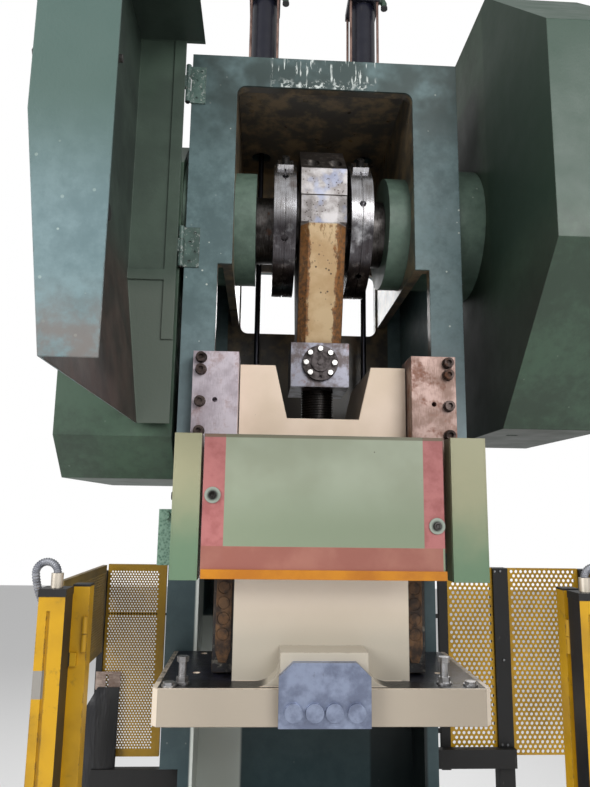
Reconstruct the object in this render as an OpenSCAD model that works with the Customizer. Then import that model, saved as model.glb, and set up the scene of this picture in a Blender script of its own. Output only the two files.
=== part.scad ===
// Gap-frame eccentric press with an open crown bay.
// X runs across the press, Y from front (-) to back (+), Z up from the floor.
// The origin is at floor level, in the middle of the four anchor holes.

/* [Frame] */
// Width of the frame over its side plates
frame_w = 726; // [690:1:760]
// Y of the frame's front face
frame_front = -400; // [-420:1:-390]
// Y of the back face of the crown
crown_back = 220; // [200:1:260]
// Y of the back face of the column
column_back = 420; // [400:1:430]
// Y of the throat wall between the side plates
throat_y = 100; // [90:1:130]
// Y of the side plates' front edges in the throat
throat_edge = -58; // [-60:1:-50]
// Height of the crown's top face
crown_top = 2820; // [2800:1:2900]
// Height of the crown's rear plate and of the crown's straight back
crown_rear_h = 920; // [880:1:930]
// Height of the head's lower edge
head_bottom = 1440; // [1425:1:1450]
// Height of the shelf on top of the throat wall
shelf_z = 1240; // [1235:1:1260]
// Height of the bed's top face
bed_top = 750; // [700:1:780]
// Thickness of the side plates
side_t = 40; // [30:1:45]
// Width of the stiffener on the left side plate
stiffener_w = 50; // [40:1:56]
// Height of the stiffener's lower end
stiffener_low = 890; // [860:1:960]
// Thickness of the front, top, back and bed plates
plate_t = 30; // [20:1:35]
// Thickness of the inner crown walls
inner_t = 25; // [16:1:30]
// Radius of the throat and window corners
corner_r = 25; // [10:1:40]

/* [Crown bay] */
// Width of the head's front face left on each side of the crank bay
bay_side = 123; // [118:1:128]
// Height of the lower edge of the bay's inner walls
bay_bottom = 2222; // [2190:1:2230]
// Height of the bay's front beam
bay_top = 2732; // [2720:1:2760]
// Width of the head's front face left on each side of the slide
lower_side = 86; // [83:1:88]
// Height of the rear window's sill
window_sill = 2195; // [2150:1:2220]
// Height of the rear window's upper edge
window_top = 2420; // [2400:1:2450]

/* [Base and bed] */
// Width of the base plate
base_w = 900; // [880:1:910]
// Depth of the base plate
base_d = 880; // [860:1:920]
// Distance from the base plate's edges to the anchor holes
anchor_edge = 40; // [32:1:50]
// Radius of the anchor holes
anchor_r = 13; // [9:0.5:16]
// Width of the bolster plate
bolster_w = 780; // [740:1:800]
// Thickness of the bolster plate
bolster_t = 80; // [70:1:100]
// Front edge of the bolster plate
bolster_front = -440; // [-460:1:-420]
// Radius of the drop hole in the bolster
drop_r = 60; // [40:1:75]
// Slot width of the T-slots
slot_w = 22; // [18:1:24]
// Distance from the slide axis to each outer T-slot
slot_x = 220; // [180:1:260]

/* [Drive] */
// Y of the slide and crankshaft axis
axis_y = -200; // [-205:1:-195]
// Height of the crankshaft axis
crank_z = 2400; // [2395:1:2410]
// Throw of the eccentric, half the set stroke
throw = 30; // [26:1:32]
// Radius of the crankshaft's main journals
journal_r = 70; // [60:1:72]
// Radius of the eccentric
ecc_r = 105; // [104:0.5:108]
// Wall of the main bearing bushes
bush_wall = 15; // [10:1:18]
// Wall of the big-end bush
end_bush_wall = 12; // [8:1:14]
// Running clearance of shafts in their bushes, on the radius
run_gap = 0.06; // [0.02:0.01:0.09]
// Clearance between sliding faces
slide_gap = 0.3; // [0.3:0.1:0.6]
// Radius of the bearing bosses inside the bay
boss_r = 160; // [150:1:170]
// Radius of the bearing bosses outside the frame
boss_out_r = 188; // [180:1:195]
// Distance from the centre to the inner face of the bosses
boss_in_x = 182; // [180:1:190]
// Distance from the centre to the outer face of the right boss
boss_out_x = 438; // [425:1:440]
// Radius of the stroke rings
ring_r = 190; // [170:1:195]
// Width of the stroke rings
ring_w = 60; // [50:1:64]
// Distance from the centre to the inner face of the stroke rings
ring_x = 74; // [72:1:78]
// Radius of the shaft shoulders that carry the stroke rings
shoulder_r = 95; // [88:1:100]

/* [Connecting rod] */
// Thickness of the connecting rod
rod_t = 124; // [110:1:130]
// Distance across the flats of the big end
rod_head_w = 370; // [350:1:376]
// Depth of the shank at its lower end
rod_foot_d = 150; // [140:1:160]
// Height of the shank's lower end
rod_foot_z = 2045; // [2035:1:2060]
// Width of the chamfer on the shank's upright edges
rod_chamfer = 22; // [10:1:30]
// Radius of the cap bolts
cap_bolt_r = 12; // [10:1:14]
// Width of the adjusting block
block_w = 158; // [150:1:164]
// Depth of the adjusting block
block_d = 184; // [170:1:190]
// Height of the adjusting block
block_h = 122; // [110:1:130]
// Radius of the adjusting screw
screw_r = 45; // [40:1:48]
// Radius of the ball end
ball_r = 60; // [54:1:64]
// Height of the ball end's centre
ball_z = 1636; // [1630:1:1650]
// Radius of the cover on the adjusting block
cover_r = 48; // [44:1:52]

/* [Slide] */
// Width of the guide housings between the side plates and the wings
housing_w = 60.7; // [58:0.1:64]
// How far the wings stand out past each side of the slide body
wing_out = 51; // [48:1:54]
// Y of the slide's front face
slide_front = -390; // [-394:1:-380]
// Y of the slide's back face
slide_back = -10; // [-20:1:0]
// Height of the slide's horns
slide_top = 1958; // [1940:1:1980]
// Height of the notch between the horns
notch_z = 1823; // [1815:1:1835]
// Width of the notch at its top
notch_top_w = 244; // [230:1:250]
// Width of the notch at its floor
notch_low_w = 182; // [170:1:190]
// How far the slide flange stands out past each side of the frame
flange_over = 22; // [10:1:26]
// Thickness of the slide flange
flange_t = 80; // [70:1:90]
// Height of the flange's lower face
flange_z = 1120; // [1110:1:1125]
// Front edge of the slide flange
flange_front = -460; // [-470:1:-450]
// Gap between the slide flange and the side plates behind it
flange_gap = 5; // [3:1:10]
// Width of the shank boss on the slide's front
shank_boss_w = 200; // [180:1:220]
// Height of the shank boss above the flange's lower face
shank_boss_h = 160; // [150:1:170]
// Radius of the coves beside the shank boss
cove_r = 56; // [50:1:60]
// How far the coves lie behind the flange's front face
cove_back = 16; // [10:1:20]
// How far the shank boss stands out in front of the flange
shank_boss_out = 10; // [6:1:20]
// Radius of the shank bore
shank_r = 25; // [20:1:30]
// Depth of the shank bore
shank_depth = 80; // [60:1:90]
// Distance between the die bolt holes across the flange
die_x = 600; // [560:1:620]
// Distance between the die bolt holes from front to back
die_y = 220; // [200:1:230]
// Radius of the die bolt holes
die_r = 9; // [7:0.5:11]
// Thickness of the guide strips
strip_t = 6; // [4:1:8]
// Width of the guide strips
strip_w = 38; // [34:1:40]
// Distance between the ring grooves on the guide strips
groove_pitch = 37; // [35.5:0.5:42]
// Outer radius of the ring grooves
groove_r = 16; // [14:0.5:16.5]

/* [Gibs] */
// How far the gib plates lap over the side plates
gib_lap = 1; // [0:1:4]
// Thickness of the gib plates
gib_t = 50; // [40:1:54]
// Height of the gib plates' top edge
gib_top = 1977; // [1970:1:1985]
// Height of the gib plates' lower edge
gib_low = 1500; // [1480:1:1520]
// Radius of the gib screws' shanks
gib_screw_r = 8; // [6:0.5:9]

/* [Counterbalance] */
// Distance from the centre to the cylinder axes
bal_x = 176; // [172:1:180]
// Y of the cylinder axes
bal_y = 80; // [70:1:90]
// Radius of the cylinder tubes
bal_r = 45; // [40:1:48]
// Length of the cylinders
bal_len = 500; // [440:1:560]
// Radius of the counterbalance rods
bal_rod_r = 9; // [8:0.5:11]

/* [Flywheel and motor] */
// Radius of the flywheel
fly_r = 520; // [490:1:530]
// Width of the flywheel's rim
fly_w = 150; // [130:1:160]
// X of the flywheel's inner face
fly_x = 480; // [474:1:486]
// Radius of the motor pulley
pulley_r = 80; // [70:1:90]
// Y of the motor axis
motor_y = 440; // [430:1:450]
// Height of the motor axis above the crankshaft
motor_lift = 240; // [200:1:260]
// Radius of the motor's body
motor_r = 120; // [110:1:128]
// Length of the motor's body
motor_len = 330; // [300:1:340]
// Number of drive belts
belt_count = 4; // [2:1:4]

/* [Guards] */
// Sheet thickness of the guards and the door
sheet = 4; // [3:0.5:5]
// Half height of the octagonal flywheel guard
wheel_guard_h = 600; // [580:1:620]
// Width of the flywheel guard
wheel_guard_w = 254; // [240:1:280]
// Width of the brake guard
brake_guard_w = 288; // [270:1:300]
// Depth of the brake guard from front to back
brake_guard_d = 800; // [760:1:820]
// Height of the brake guard's floor
brake_guard_low = 1670; // [1640:1:1700]
// Height of the brake guard's roof
brake_guard_top = 2600; // [2590:1:2640]
// Chamfer on the brake guard's long edges
brake_guard_c = 100; // [80:1:120]
// Opening angle of the crown door
door_angle = 90; // [80:1:95]
// Width of the crown door
door_w = 722; // [710:1:726]
// Depth of the crown door above its fold
door_d = 125; // [110:1:140]
// Depth of the crown door at its lower edge
door_low_d = 82; // [76:1:90]
// Height of the door's lower edge
door_low = 1800; // [1790:1:1820]
// Height of the fold across the door
door_fold = 2170; // [2150:1:2200]
// Height of the door's top
door_top = 2842; // [2836:1:2860]

/* [Front guard] */
// Distance from the frame's sides to the front guard's panel
panel_side = 80; // [77:1:83]
// Height of the front guard's lower edge
panel_low = 1440; // [1430:1:1450]
// Height of the front guard's top edge
panel_top = 1767; // [1755:1:1785]
// How far the front guard stands in front of the frame
panel_out = 115; // [108:1:125]
// Width of the end channels
channel_w = 68; // [64:1:72]

/* [Side guards] */
// Y of the mesh screens beside the frame
screen_y = 40; // [30:1:60]
// Height of the screens' top edge
screen_top = 1428; // [1420:1:1440]
// Height of the screens' lower edge
screen_low = 893; // [880:1:900]
// Gap between the frame's left side and the left screen
screen_left_gap = 65; // [55:1:72]
// Distance from the frame's left side to the left corner column
column_left_d = 248; // [240:1:256]
// Gap between the frame's right side and the flat bar beside it
bar_gap = 32; // [28:1:36]
// Distance from the frame's right side to the column between the right screens
column_mid_d = 223; // [216:1:230]
// Distance from the frame's right side to the right corner column
column_right_d = 495; // [485:1:505]
// Width of the column between the right screens
column_mid_w = 46; // [42:1:50]
// Depth of the corner columns
column_s = 40; // [36:1:44]
// Height of the side gates' lower edge
gate_low = 1184; // [1150:1:1190]
// Length of the side gates
gate_len = 440; // [400:1:460]
// Y of the front posts
post_y = -700; // [-720:1:-690]
// Distance from the frame's left side to the left front post
post_left_d = 125; // [117:1:132]
// Distance from the frame's right side to the right front post
post_right_d = 100; // [92:1:107]
// Side of the front posts
post_s = 32; // [30:1:36]
// Height of the front posts
post_top = 1452; // [1440:1:1460]
// How far the left light curtain stands outside its post
curtain_left_d = 37; // [32:1:42]
// How far the right light curtain stands outside its post
curtain_right_d = 12; // [5:1:19]
// Width of the light curtain housings
curtain_w = 48; // [44:1:50]
// Gap between the front posts and the light curtains
curtain_gap = 9; // [9:1:12]
// Height of the light curtains' top cap
curtain_top = 1436; // [1420:1:1445]
// Height of the light curtains' lower end
curtain_low = 860; // [840:1:880]

/* [Hidden] */
$fn = 48;

// Clearance of bolts and seats that don't turn
seat_gap = 0.3;
// Clearance of hubs and bushes pressed on or in
press_gap = 0.02;

side_x = frame_w / 2 - side_t;
column_top = crown_top - crown_rear_h - 150;
anchor_x = base_w - 2 * anchor_edge;
anchor_y = base_d - 2 * anchor_edge;
flange_w = frame_w + 2 * flange_over;
flange_back = throat_edge - flange_gap;
bay_x = frame_w / 2 - bay_side;
lower_x = frame_w / 2 - lower_side;
bush_r = journal_r + bush_wall;
boss_left_x = frame_w / 2 + 12;
end_z = crank_z + throw;
end_bush_r = ecc_r + end_bush_wall;
rod_flat = rod_head_w * tan(22.5) / 2;
wing_x = side_x - housing_w - slide_gap;
slide_w = 2 * (wing_x - wing_out);
wing_front = slide_front + 54;
wing_back = slide_back - 30;
guide_x = side_x - housing_w;
strip_front = wing_front - strip_t;
guide_top = gib_top + 13;
gib_x = slide_w / 2 + 2;
gib_w = side_x + gib_lap - gib_x;
gib_back = strip_front - slide_gap;
gib_screw_x = gib_x + gib_w - 20;
gib_heights = [
  gib_top - 17, gib_top - 47, gib_top - 125, gib_top - 197, gib_top - 277, gib_top - 357,
  gib_low + 40
];
screw_top = rod_foot_z + 90;
pocket_r = ball_r + throw + 10;
pocket_z = ball_z - ball_r - throw * 0.25 - 4;
base_t = 30;
window_x = 160;
base_window_z = 230;
base_window_top = 560;
column_window_z = 900;
bolster_bolt_x = side_x - 40;
bolster_back = throat_edge - corner_r - 4;
bolster_bolt_ys = [frame_front + plate_t + 25, bolster_back - 40];
bolt_r = 10;
motor_x = 80;
motor_z = crank_z + motor_lift;
motor_shaft_r = 19;
shaft_end_x = 692;
groove_step = 30;
groove_depth = 12;
groove_w = 14;
belt_gap = 0.4;
drum_x = 470;
drum_w = 90;
drum_r = 150;
band_t = 9;
wheel_guard_back = 760;
hinge_x = -frame_w / 2 - 9;
hinge_y = frame_front - 8;
hinge_heights = [door_fold + 38, door_top - 171];
hinge_h = 108;
knuckle_r = 7;
pin_r = 3;
door_x = hinge_x + 10;
door_back = hinge_y - 7;
door_bolt_x = door_x + door_w - 40;
door_bolt_z = 2285;
panel_front = frame_front - panel_out;
panel_x = frame_w / 2 - panel_side;
channel_in_x = panel_x + 2;
guard_bolt_places = [[-1, 0.61], [1, 0.37], [-1, 0.15], [1, 0.83]];
screen_t = 2;
column_left_w = 18;
column_right_w = 50;
bar_w = 28;
screen_left_x = frame_w / 2 + screen_left_gap;
column_left_x = frame_w / 2 + column_left_d;
bar_x = frame_w / 2 + bar_gap + bar_w / 2;
column_mid_x = frame_w / 2 + column_mid_d;
column_right_x = frame_w / 2 + column_right_d;
post_left_x = frame_w / 2 + post_left_d;
post_right_x = frame_w / 2 + post_right_d;
rail_z = 120;
rail_s = 24;
gate_pin_y = screen_y - column_s / 2 - 10;
gate_pin_r = 4;
gate_hinge_heights = [gate_low + 30, screen_top - 80];
post_hinge_z = 1331;
box_z = 1462;
buffer_z = 2020;
cap_bolt_y = end_bush_r + (rod_head_w / 2 - end_bush_r) / 2;
block_front = axis_y - block_d / 2;
cover_z = rod_foot_z - block_h / 2 + 3;
clamp_xs = [-70, -23, 21, 70];
clamp_bolt_r = 8.3;
clamp_bolt_z = flange_z + 39;
clamp_t = 20;
// X, Y and height of the studs on the flange's top face
flange_studs = [[-323, -412, 60], [-350, -437, 10], [288, -412, 60], [345, -428, 10]];

// A block between two corners
module block(low, high) {
  translate(low)
    cube(high - low);
}

// A profile drawn in Y and Z, drawn out along X
module along_x(x0, x1) {
  translate([x0, 0, 0])
    rotate([90, 0, 90])
      linear_extrude(x1 - x0)
        children();
}

// A profile drawn in X and Z, drawn out along Y
module along_y(y0, y1) {
  translate([0, y1, 0])
    rotate([90, 0, 0])
      linear_extrude(y1 - y0)
        children();
}

// A profile drawn in X and Y, drawn out along Z
module along_z(z0, z1) {
  translate([0, 0, z0])
    linear_extrude(z1 - z0)
      children();
}

// A shaft or bore along X
module rod_x(r, x0, x1, y, z) {
  translate([x0, y, z])
    rotate([0, 90, 0])
      cylinder(r = r, h = x1 - x0);
}

// A shaft or bore along Y
module rod_y(r, y0, y1, x, z) {
  translate([x, y1, z])
    rotate([90, 0, 0])
      cylinder(r = r, h = y1 - y0);
}

// A shaft or bore along Z
module rod_z(r, z0, z1, x, y) {
  translate([x, y, z0])
    cylinder(r = r, h = z1 - z0);
}

// A rectangle with four round corners
module round_rect(low, high, r) {
  translate([low.x + r, low.y])
    square([high.x - low.x - 2 * r, high.y - low.y]);
  translate([low.x, low.y + r])
    square([high.x - low.x, high.y - low.y - 2 * r]);
  for (x = [low.x + r, high.x - r], y = [low.y + r, high.y - r])
    translate([x, y])
      circle(r);
}

// The same thing on the left and on the right
module both_sides() {
  children();
  mirror([1, 0, 0])
    children();
}

// Outline of a flame-cut side plate: crown, head, throat, column and bed
module side_outline() {
  head_y = frame_front + plate_t;
  polygon([
    [frame_front, base_t], [frame_front, bed_top], [throat_edge, bed_top],
    [throat_edge, head_bottom], [head_y, head_bottom], [head_y, crown_top], [crown_back, crown_top],
    [crown_back, crown_top - crown_rear_h + 100],
    [column_back, column_top], [column_back, base_t]
  ]);
  translate([throat_edge - corner_r, bed_top])
    throat_corner();
}

// Fillet between the throat's edge and the bed
module throat_corner() {
  difference() {
    square([corner_r, corner_r]);
    translate([0, corner_r])
      circle(corner_r);
  }
}

// Two flame-cut side plates. The left one carries a square stiffener beside the throat
module side_plates() {
  color("#5a766e") {
    for (x = [-frame_w / 2, side_x])
      difference() {
        along_x(x, x + side_t)
          side_outline();
        rod_x(bush_r, x - 1, x + side_t + 1, axis_y, crank_z);
      }
    block(
      [-frame_w / 2 - stiffener_w, throat_edge, stiffener_low],
      [-frame_w / 2, throat_edge + side_t, head_bottom]
    );
  }
}

// Front plate of the head with the crown bay's opening
module head_front() {
  difference() {
    translate([-frame_w / 2, head_bottom])
      square([frame_w, crown_top - head_bottom]);
    round_rect([-bay_x, bay_bottom - 100], [bay_x, bay_top], corner_r);
    translate([-lower_x, head_bottom - 1])
      square([2 * lower_x, bay_bottom - head_bottom + 1]);
  }
}

// Front plates of the head and of the bed
module front_plates() {
  color("#5a766e") {
    difference() {
      along_y(frame_front, frame_front + plate_t)
        head_front();
      gib_screw_holes();
    }
    along_y(frame_front, frame_front + plate_t)
      difference() {
        translate([-side_x, base_t])
          square([2 * side_x, bed_top - plate_t - base_t]);
        round_rect([-window_x, base_window_z], [window_x, base_window_top], corner_r);
      }
  }
}

// Back plates of the crown and of the column, with their windows
module rear_plates() {
  color("#5a766e") {
    along_y(crown_back - plate_t, crown_back)
      difference() {
        translate([-side_x, crown_top - crown_rear_h])
          square([2 * side_x, crown_rear_h - plate_t]);
        round_rect([-bay_x + 5, window_sill], [bay_x - 5, window_top], corner_r);
      }
    along_y(column_back - plate_t, column_back)
      difference() {
        translate([-side_x, base_t])
          square([2 * side_x, column_top - base_t]);
        round_rect([-window_x, column_window_z], [window_x, column_window_z + 300], corner_r);
        round_rect([-window_x, base_window_z], [window_x, base_window_top], corner_r);
      }
  }
}

// Level plates: base plate, bed plate, shelf above the throat wall and crown top
module level_plates() {
  color("#5a766e") {
    difference() {
      block([-base_w / 2, -base_d / 2, 0], [base_w / 2, base_d / 2, base_t]);
      for (x = [-anchor_x / 2, anchor_x / 2], y = [-anchor_y / 2, anchor_y / 2])
        rod_z(anchor_r, -1, base_t + 1, x, y);
      scrap_hole();
    }
    difference() {
      block([-side_x, frame_front, bed_top - plate_t], [side_x, throat_y + plate_t, bed_top]);
      scrap_hole();
      for (x = [-bolster_bolt_x, bolster_bolt_x], y = bolster_bolt_ys)
        rod_z(bolt_r + seat_gap, bed_top - plate_t - 1, bed_top + 1, x, y);
    }
    block([-side_x, throat_y, shelf_z], [side_x, column_back - plate_t, shelf_z + plate_t]);
    difference() {
      block([-side_x, frame_front + plate_t, crown_top - plate_t], [side_x, crown_back, crown_top]);
      for (x = [-bal_x, bal_x])
        rod_z(33, crown_top - plate_t - 1, crown_top + 1, x, bal_y);
    }
  }
}

// Hole for scrap through the bed and the base
module scrap_hole() {
  rod_z(drop_r + 15, -1, bed_top + 1, 0, axis_y);
}

// Inner walls of the crown bay, and the throat wall
module inner_walls() {
  color("#5a766e") {
    both_sides()
      difference() {
        block(
          [bay_x, frame_front + plate_t, bay_bottom],
          [bay_x + inner_t, crown_back - plate_t, crown_top - plate_t]
        );
        rod_x(boss_r, bay_x - 1, bay_x + inner_t + 1, axis_y, crank_z);
      }
    block([-side_x, throat_y, bed_top], [side_x, throat_y + plate_t, shelf_z]);
  }
}

// Guide housings of the wings: side face and rear rail
module guide_housings() {
  color("#5a766e")
    both_sides()
      difference() {
        union() {
          block([guide_x, frame_front + plate_t, head_bottom], [side_x, wing_back + 80, guide_top]);
          block([gib_x, wing_back + slide_gap, head_bottom], [guide_x, wing_back + 80, guide_top]);
        }
        gib_screw_holes();
      }
}

module gib_screw_holes() {
  for (x = [-gib_screw_x, gib_screw_x], z = gib_heights)
    rod_y(gib_screw_r + seat_gap, frame_front - 1, frame_front + 46, x, z);
}

// Bearing bosses inside the bay and outside the frame, welded to the side plates
module bearing_bosses() {
  color("#5a766e") {
    for (x = [-side_x, boss_in_x])
      difference() {
        rod_x(boss_r, x, x + side_x - boss_in_x, axis_y, crank_z);
        rod_x(bush_r, x - 1, x + side_x, axis_y, crank_z);
      }
    difference() {
      rod_x(boss_out_r, frame_w / 2, boss_out_x, axis_y, crank_z);
      rod_x(bush_r, frame_w / 2 - 1, boss_out_x + 1, axis_y, crank_z);
    }
    difference() {
      rod_x(boss_out_r, -boss_left_x, -frame_w / 2, axis_y, crank_z);
      rod_x(bush_r, -boss_left_x - 1, -frame_w / 2 + 1, axis_y, crank_z);
    }
  }
}

// A T-slot cut along Y
module tee_slot(x) {
  top = bed_top + bolster_t;
  w = slot_w * 0.85;
  block([x - slot_w / 2, bolster_front - 1, top - 32], [x + slot_w / 2, bolster_back + 1, top + 1]);
  block([x - w, bolster_front - 1, top - 46], [x + w, bolster_back + 1, top - 30]);
}

module bolster_plate() {
  color("#8c8f92")
    difference() {
      block([-bolster_w / 2, bolster_front, bed_top], [bolster_w / 2, bolster_back, bed_top + bolster_t]);
      for (x = [-slot_x, slot_x])
        tee_slot(x);
      rod_z(drop_r, bed_top - 1, bed_top + bolster_t + 1, 0, axis_y);
      for (x = [-bolster_bolt_x, bolster_bolt_x], y = bolster_bolt_ys) {
        rod_z(bolt_r + seat_gap, bed_top - 1, bed_top + bolster_t + 1, x, y);
        rod_z(18, bed_top + bolster_t - 24, bed_top + bolster_t + 1, x, y);
      }
    }
}

module bolster_bolts() {
  color("#3c3f42")
    for (x = [-bolster_bolt_x, bolster_bolt_x], y = bolster_bolt_ys) {
      rod_z(15, bed_top + bolster_t - 24, bed_top + bolster_t - 4, x, y);
      rod_z(bolt_r, bed_top - plate_t - 22, bed_top + bolster_t - 24, x, y);
      translate([x, y, bed_top - plate_t - 18])
        cylinder(r = 17, h = 18, $fn = 6);
    }
}

// Gib plates: front plates with the lips that bear on the guide strips
module gib_plates() {
  color("#a58c82")
    both_sides()
      difference() {
        union() {
          block([gib_x, frame_front - gib_t, gib_low], [gib_x + gib_w, frame_front, gib_top]);
          block([gib_x, frame_front, gib_low], [guide_x, gib_back, gib_top]);
        }
        for (z = gib_heights)
          rod_y(gib_screw_r + seat_gap, frame_front - gib_t - 1, frame_front + 1, gib_screw_x, z);
        rod_y(6, frame_front - gib_t - 1, frame_front - 10, gib_x + gib_w / 2, gib_top - 120);
      }
}

// A socket head screw along Y with its washer
module socket_screw_y(x, y, z, r, length) {
  difference() {
    union() {
      rod_y(r * 1.5, y - 2.2 * r, y, x, z);
      rod_y(r * 1.75, y - 0.4 * r, y, x, z);
      rod_y(r, y, y + length, x, z);
    }
    translate([x, y - 2.2 * r + 0.9 * r, z])
      rotate([90, 0, 0])
        cylinder(r = r * 0.85, h = 1.5 * r, $fn = 6);
  }
}

module gib_screws() {
  color("#3c3836")
    for (x = [-gib_screw_x, gib_screw_x], z = gib_heights)
      socket_screw_y(x, frame_front - gib_t, z, gib_screw_r, gib_t + 40);
}

module bearing_bush(x0, x1) {
  color("#b08d57")
    difference() {
      rod_x(bush_r - press_gap, x0, x1, axis_y, crank_z);
      rod_x(journal_r + run_gap, x0 - 1, x1 + 1, axis_y, crank_z);
    }
}

module main_bearings() {
  bearing_bush(-boss_left_x, -boss_in_x);
  bearing_bush(boss_in_x, boss_out_x);
}

// Octagonal outline of the flywheel guard, drawn out at the back for the motor pulley
module wheel_guard_outline(inset) {
  h = wheel_guard_h - inset;
  f = h * tan(22.5);
  b = wheel_guard_back - inset;
  c = 220 - inset * (2 - sqrt(2));
  translate([axis_y, crank_z])
    polygon([[-h, -f], [-f, -h], [f, -h], [b, b - h - f], [b, h - c], [b - c, h], [-f, h], [-h, f]]);
}

module flywheel_guard() {
  x = boss_out_x;
  low = crank_z - wheel_guard_h;
  color("#5f8a78")
    difference() {
      along_x(x, x + wheel_guard_w)
        wheel_guard_outline(0);
      along_x(x + sheet, x + wheel_guard_w + 1)
        wheel_guard_outline(sheet);
      rod_x(bush_r, x - 1, x + sheet + 1, axis_y, crank_z);
      rod_x(60, x - 1, x + sheet + 1, motor_y, motor_z);
      block([x + 60, axis_y - 120, low - 1], [x + 90, axis_y - 105, low + sheet + 1]);
    }
}

module flywheel_guard_cover() {
  x = boss_out_x + wheel_guard_w;
  color("#5f8a78")
    difference() {
      along_x(x, x + sheet)
        wheel_guard_outline(0);
      for (z = [-180:40:180])
        block([x - 1, axis_y - 150, crank_z + z], [x + sheet + 1, axis_y + 150, crank_z + z + 14]);
    }
}

// Outline of the brake guard: a box with chamfered long edges
module brake_guard_outline(inset) {
  c = brake_guard_c - inset * (2 - sqrt(2));
  y0 = frame_front + inset;
  y1 = frame_front + brake_guard_d - inset;
  z0 = brake_guard_low + inset;
  z1 = brake_guard_top - inset;
  polygon([
    [y0, z0 + c], [y0 + c, z0], [y1 - c, z0], [y1, z0 + c],
    [y1, z1 - c], [y1 - c, z1], [y0 + c, z1], [y0, z1 - c]
  ]);
}

module brake_guard() {
  x = -boss_left_x - brake_guard_w;
  color("#5a8070")
    difference() {
      along_x(x, -boss_left_x)
        brake_guard_outline(0);
      along_x(x + sheet, -boss_left_x - sheet)
        brake_guard_outline(sheet);
      rod_x(bush_r, -boss_left_x - sheet - 1, -boss_left_x + 1, axis_y, crank_z);
      for (z = [-60:30:60])
        block([x - 1, axis_y - 80, crank_z + z], [x + sheet + 1, axis_y + 80, crank_z + z + 12]);
    }
}

module brake_band() {
  x = -drum_x - drum_w;
  y = axis_y + drum_r + band_t;
  color("#4a4440") {
    difference() {
      rod_x(drum_r + slide_gap + band_t, x + 5, -drum_x - 5, axis_y, crank_z);
      rod_x(drum_r + slide_gap, x, -drum_x, axis_y, crank_z);
      block([x, y - 50, crank_z - 8], [-drum_x, y + 10, crank_z + 8]);
    }
    for (z = [crank_z - 34, crank_z + 8])
      block([x + 5, y - 2, z], [-boss_left_x - sheet, y + 50, z + 26]);
    rod_z(8, crank_z - 10, crank_z + 10, -drum_x - 40, y + 28);
  }
}

module brake_drum() {
  color("#7a7a78")
    difference() {
      rod_x(drum_r, -drum_x - drum_w, -drum_x, axis_y, crank_z);
      rod_x(journal_r + press_gap, -drum_x - drum_w - 1, -drum_x + 1, axis_y, crank_z);
      rod_x(drum_r - 18, -drum_x - drum_w - 1, -drum_x - drum_w + 30, axis_y, crank_z);
    }
}

module motor() {
  color("#4f6f66") {
    rod_x(motor_r - 8, motor_x, motor_x + motor_len - 20, motor_y, motor_z);
    for (a = [0:15:345])
      translate([motor_x + 40, motor_y, motor_z])
        rotate([a, 0, 0])
          translate([0, -2, motor_r - 14])
            cube([motor_len - 105, 4, 12]);
    rod_x(motor_r, motor_x + motor_len - 70, motor_x + motor_len - 20, motor_y, motor_z);
    rod_x(motor_r, motor_x - 60, motor_x + 20, motor_y, motor_z);
    for (x = [motor_x + 40, motor_x + motor_len - 120])
      block([x, motor_y - motor_r - 20, motor_z - 110], [x + 60, motor_y - 60, motor_z + 110]);
    block([motor_x + 60, motor_y - 50, motor_z + 90], [motor_x + 180, motor_y + 50, motor_z + 170]);
  }
}

module motor_bracket() {
  back = motor_y - motor_r - 20;
  color("#4f6f66") {
    block([motor_x, crown_back, motor_z - 130], [motor_x + motor_len - 20, crown_back + 15, motor_z + 130]);
    block([motor_x, back - 15, motor_z - 130], [motor_x + motor_len - 20, back, motor_z + 130]);
    for (z = [motor_z - 110, motor_z, motor_z + 95])
      block([motor_x, crown_back + 15, z], [motor_x + motor_len - 20, back - 15, z + 15]);
  }
}

// Direction from the flywheel to the motor pulley, and the lean of the belt's straight runs
belt_dy = motor_y - axis_y;
belt_dz = motor_z - crank_z;
belt_turn = atan2(belt_dz, belt_dy);
belt_lean = acos((fly_r - pulley_r) / norm([belt_dy, belt_dz]));
belt_steps = 48;

// Points of an arc about a centre, from one angle to another
function arc_points(c, r, a0, a1, steps) =
  [for (i = [0:steps]) c + r * [cos(a0 + (a1 - a0) * i / steps), sin(a0 + (a1 - a0) * i / steps)]];

// Area inside a belt that runs over the flywheel and the motor pulley
module belt_area(r1, r2) {
  polygon(concat(
    arc_points([axis_y, crank_z], r1, belt_turn + belt_lean, belt_turn + 360 - belt_lean, belt_steps),
    arc_points([motor_y, motor_z], r2, belt_turn - belt_lean, belt_turn + belt_lean, belt_steps / 4)
  ));
}

function groove_x(i) = fly_x + fly_w / 2 + (i - (belt_count - 1) / 2) * groove_step;

module drive_belts() {
  color("#2a2a2a")
    for (i = [0:belt_count - 1])
      along_x(groove_x(i) - groove_w / 2 + belt_gap, groove_x(i) + groove_w / 2 - belt_gap)
        difference() {
          belt_area(fly_r + 2, pulley_r + 2);
          belt_area(fly_r - groove_depth + 3 * belt_gap, pulley_r - groove_depth + 3 * belt_gap);
        }
}

// The grooves for the belts round a wheel
module belt_grooves(r, y, z) {
  for (i = [0:belt_count - 1])
    difference() {
      rod_x(r + 1, groove_x(i) - groove_w / 2, groove_x(i) + groove_w / 2, y, z);
      rod_x(r - groove_depth, groove_x(i) - groove_w, groove_x(i) + groove_w, y, z);
    }
}

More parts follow.
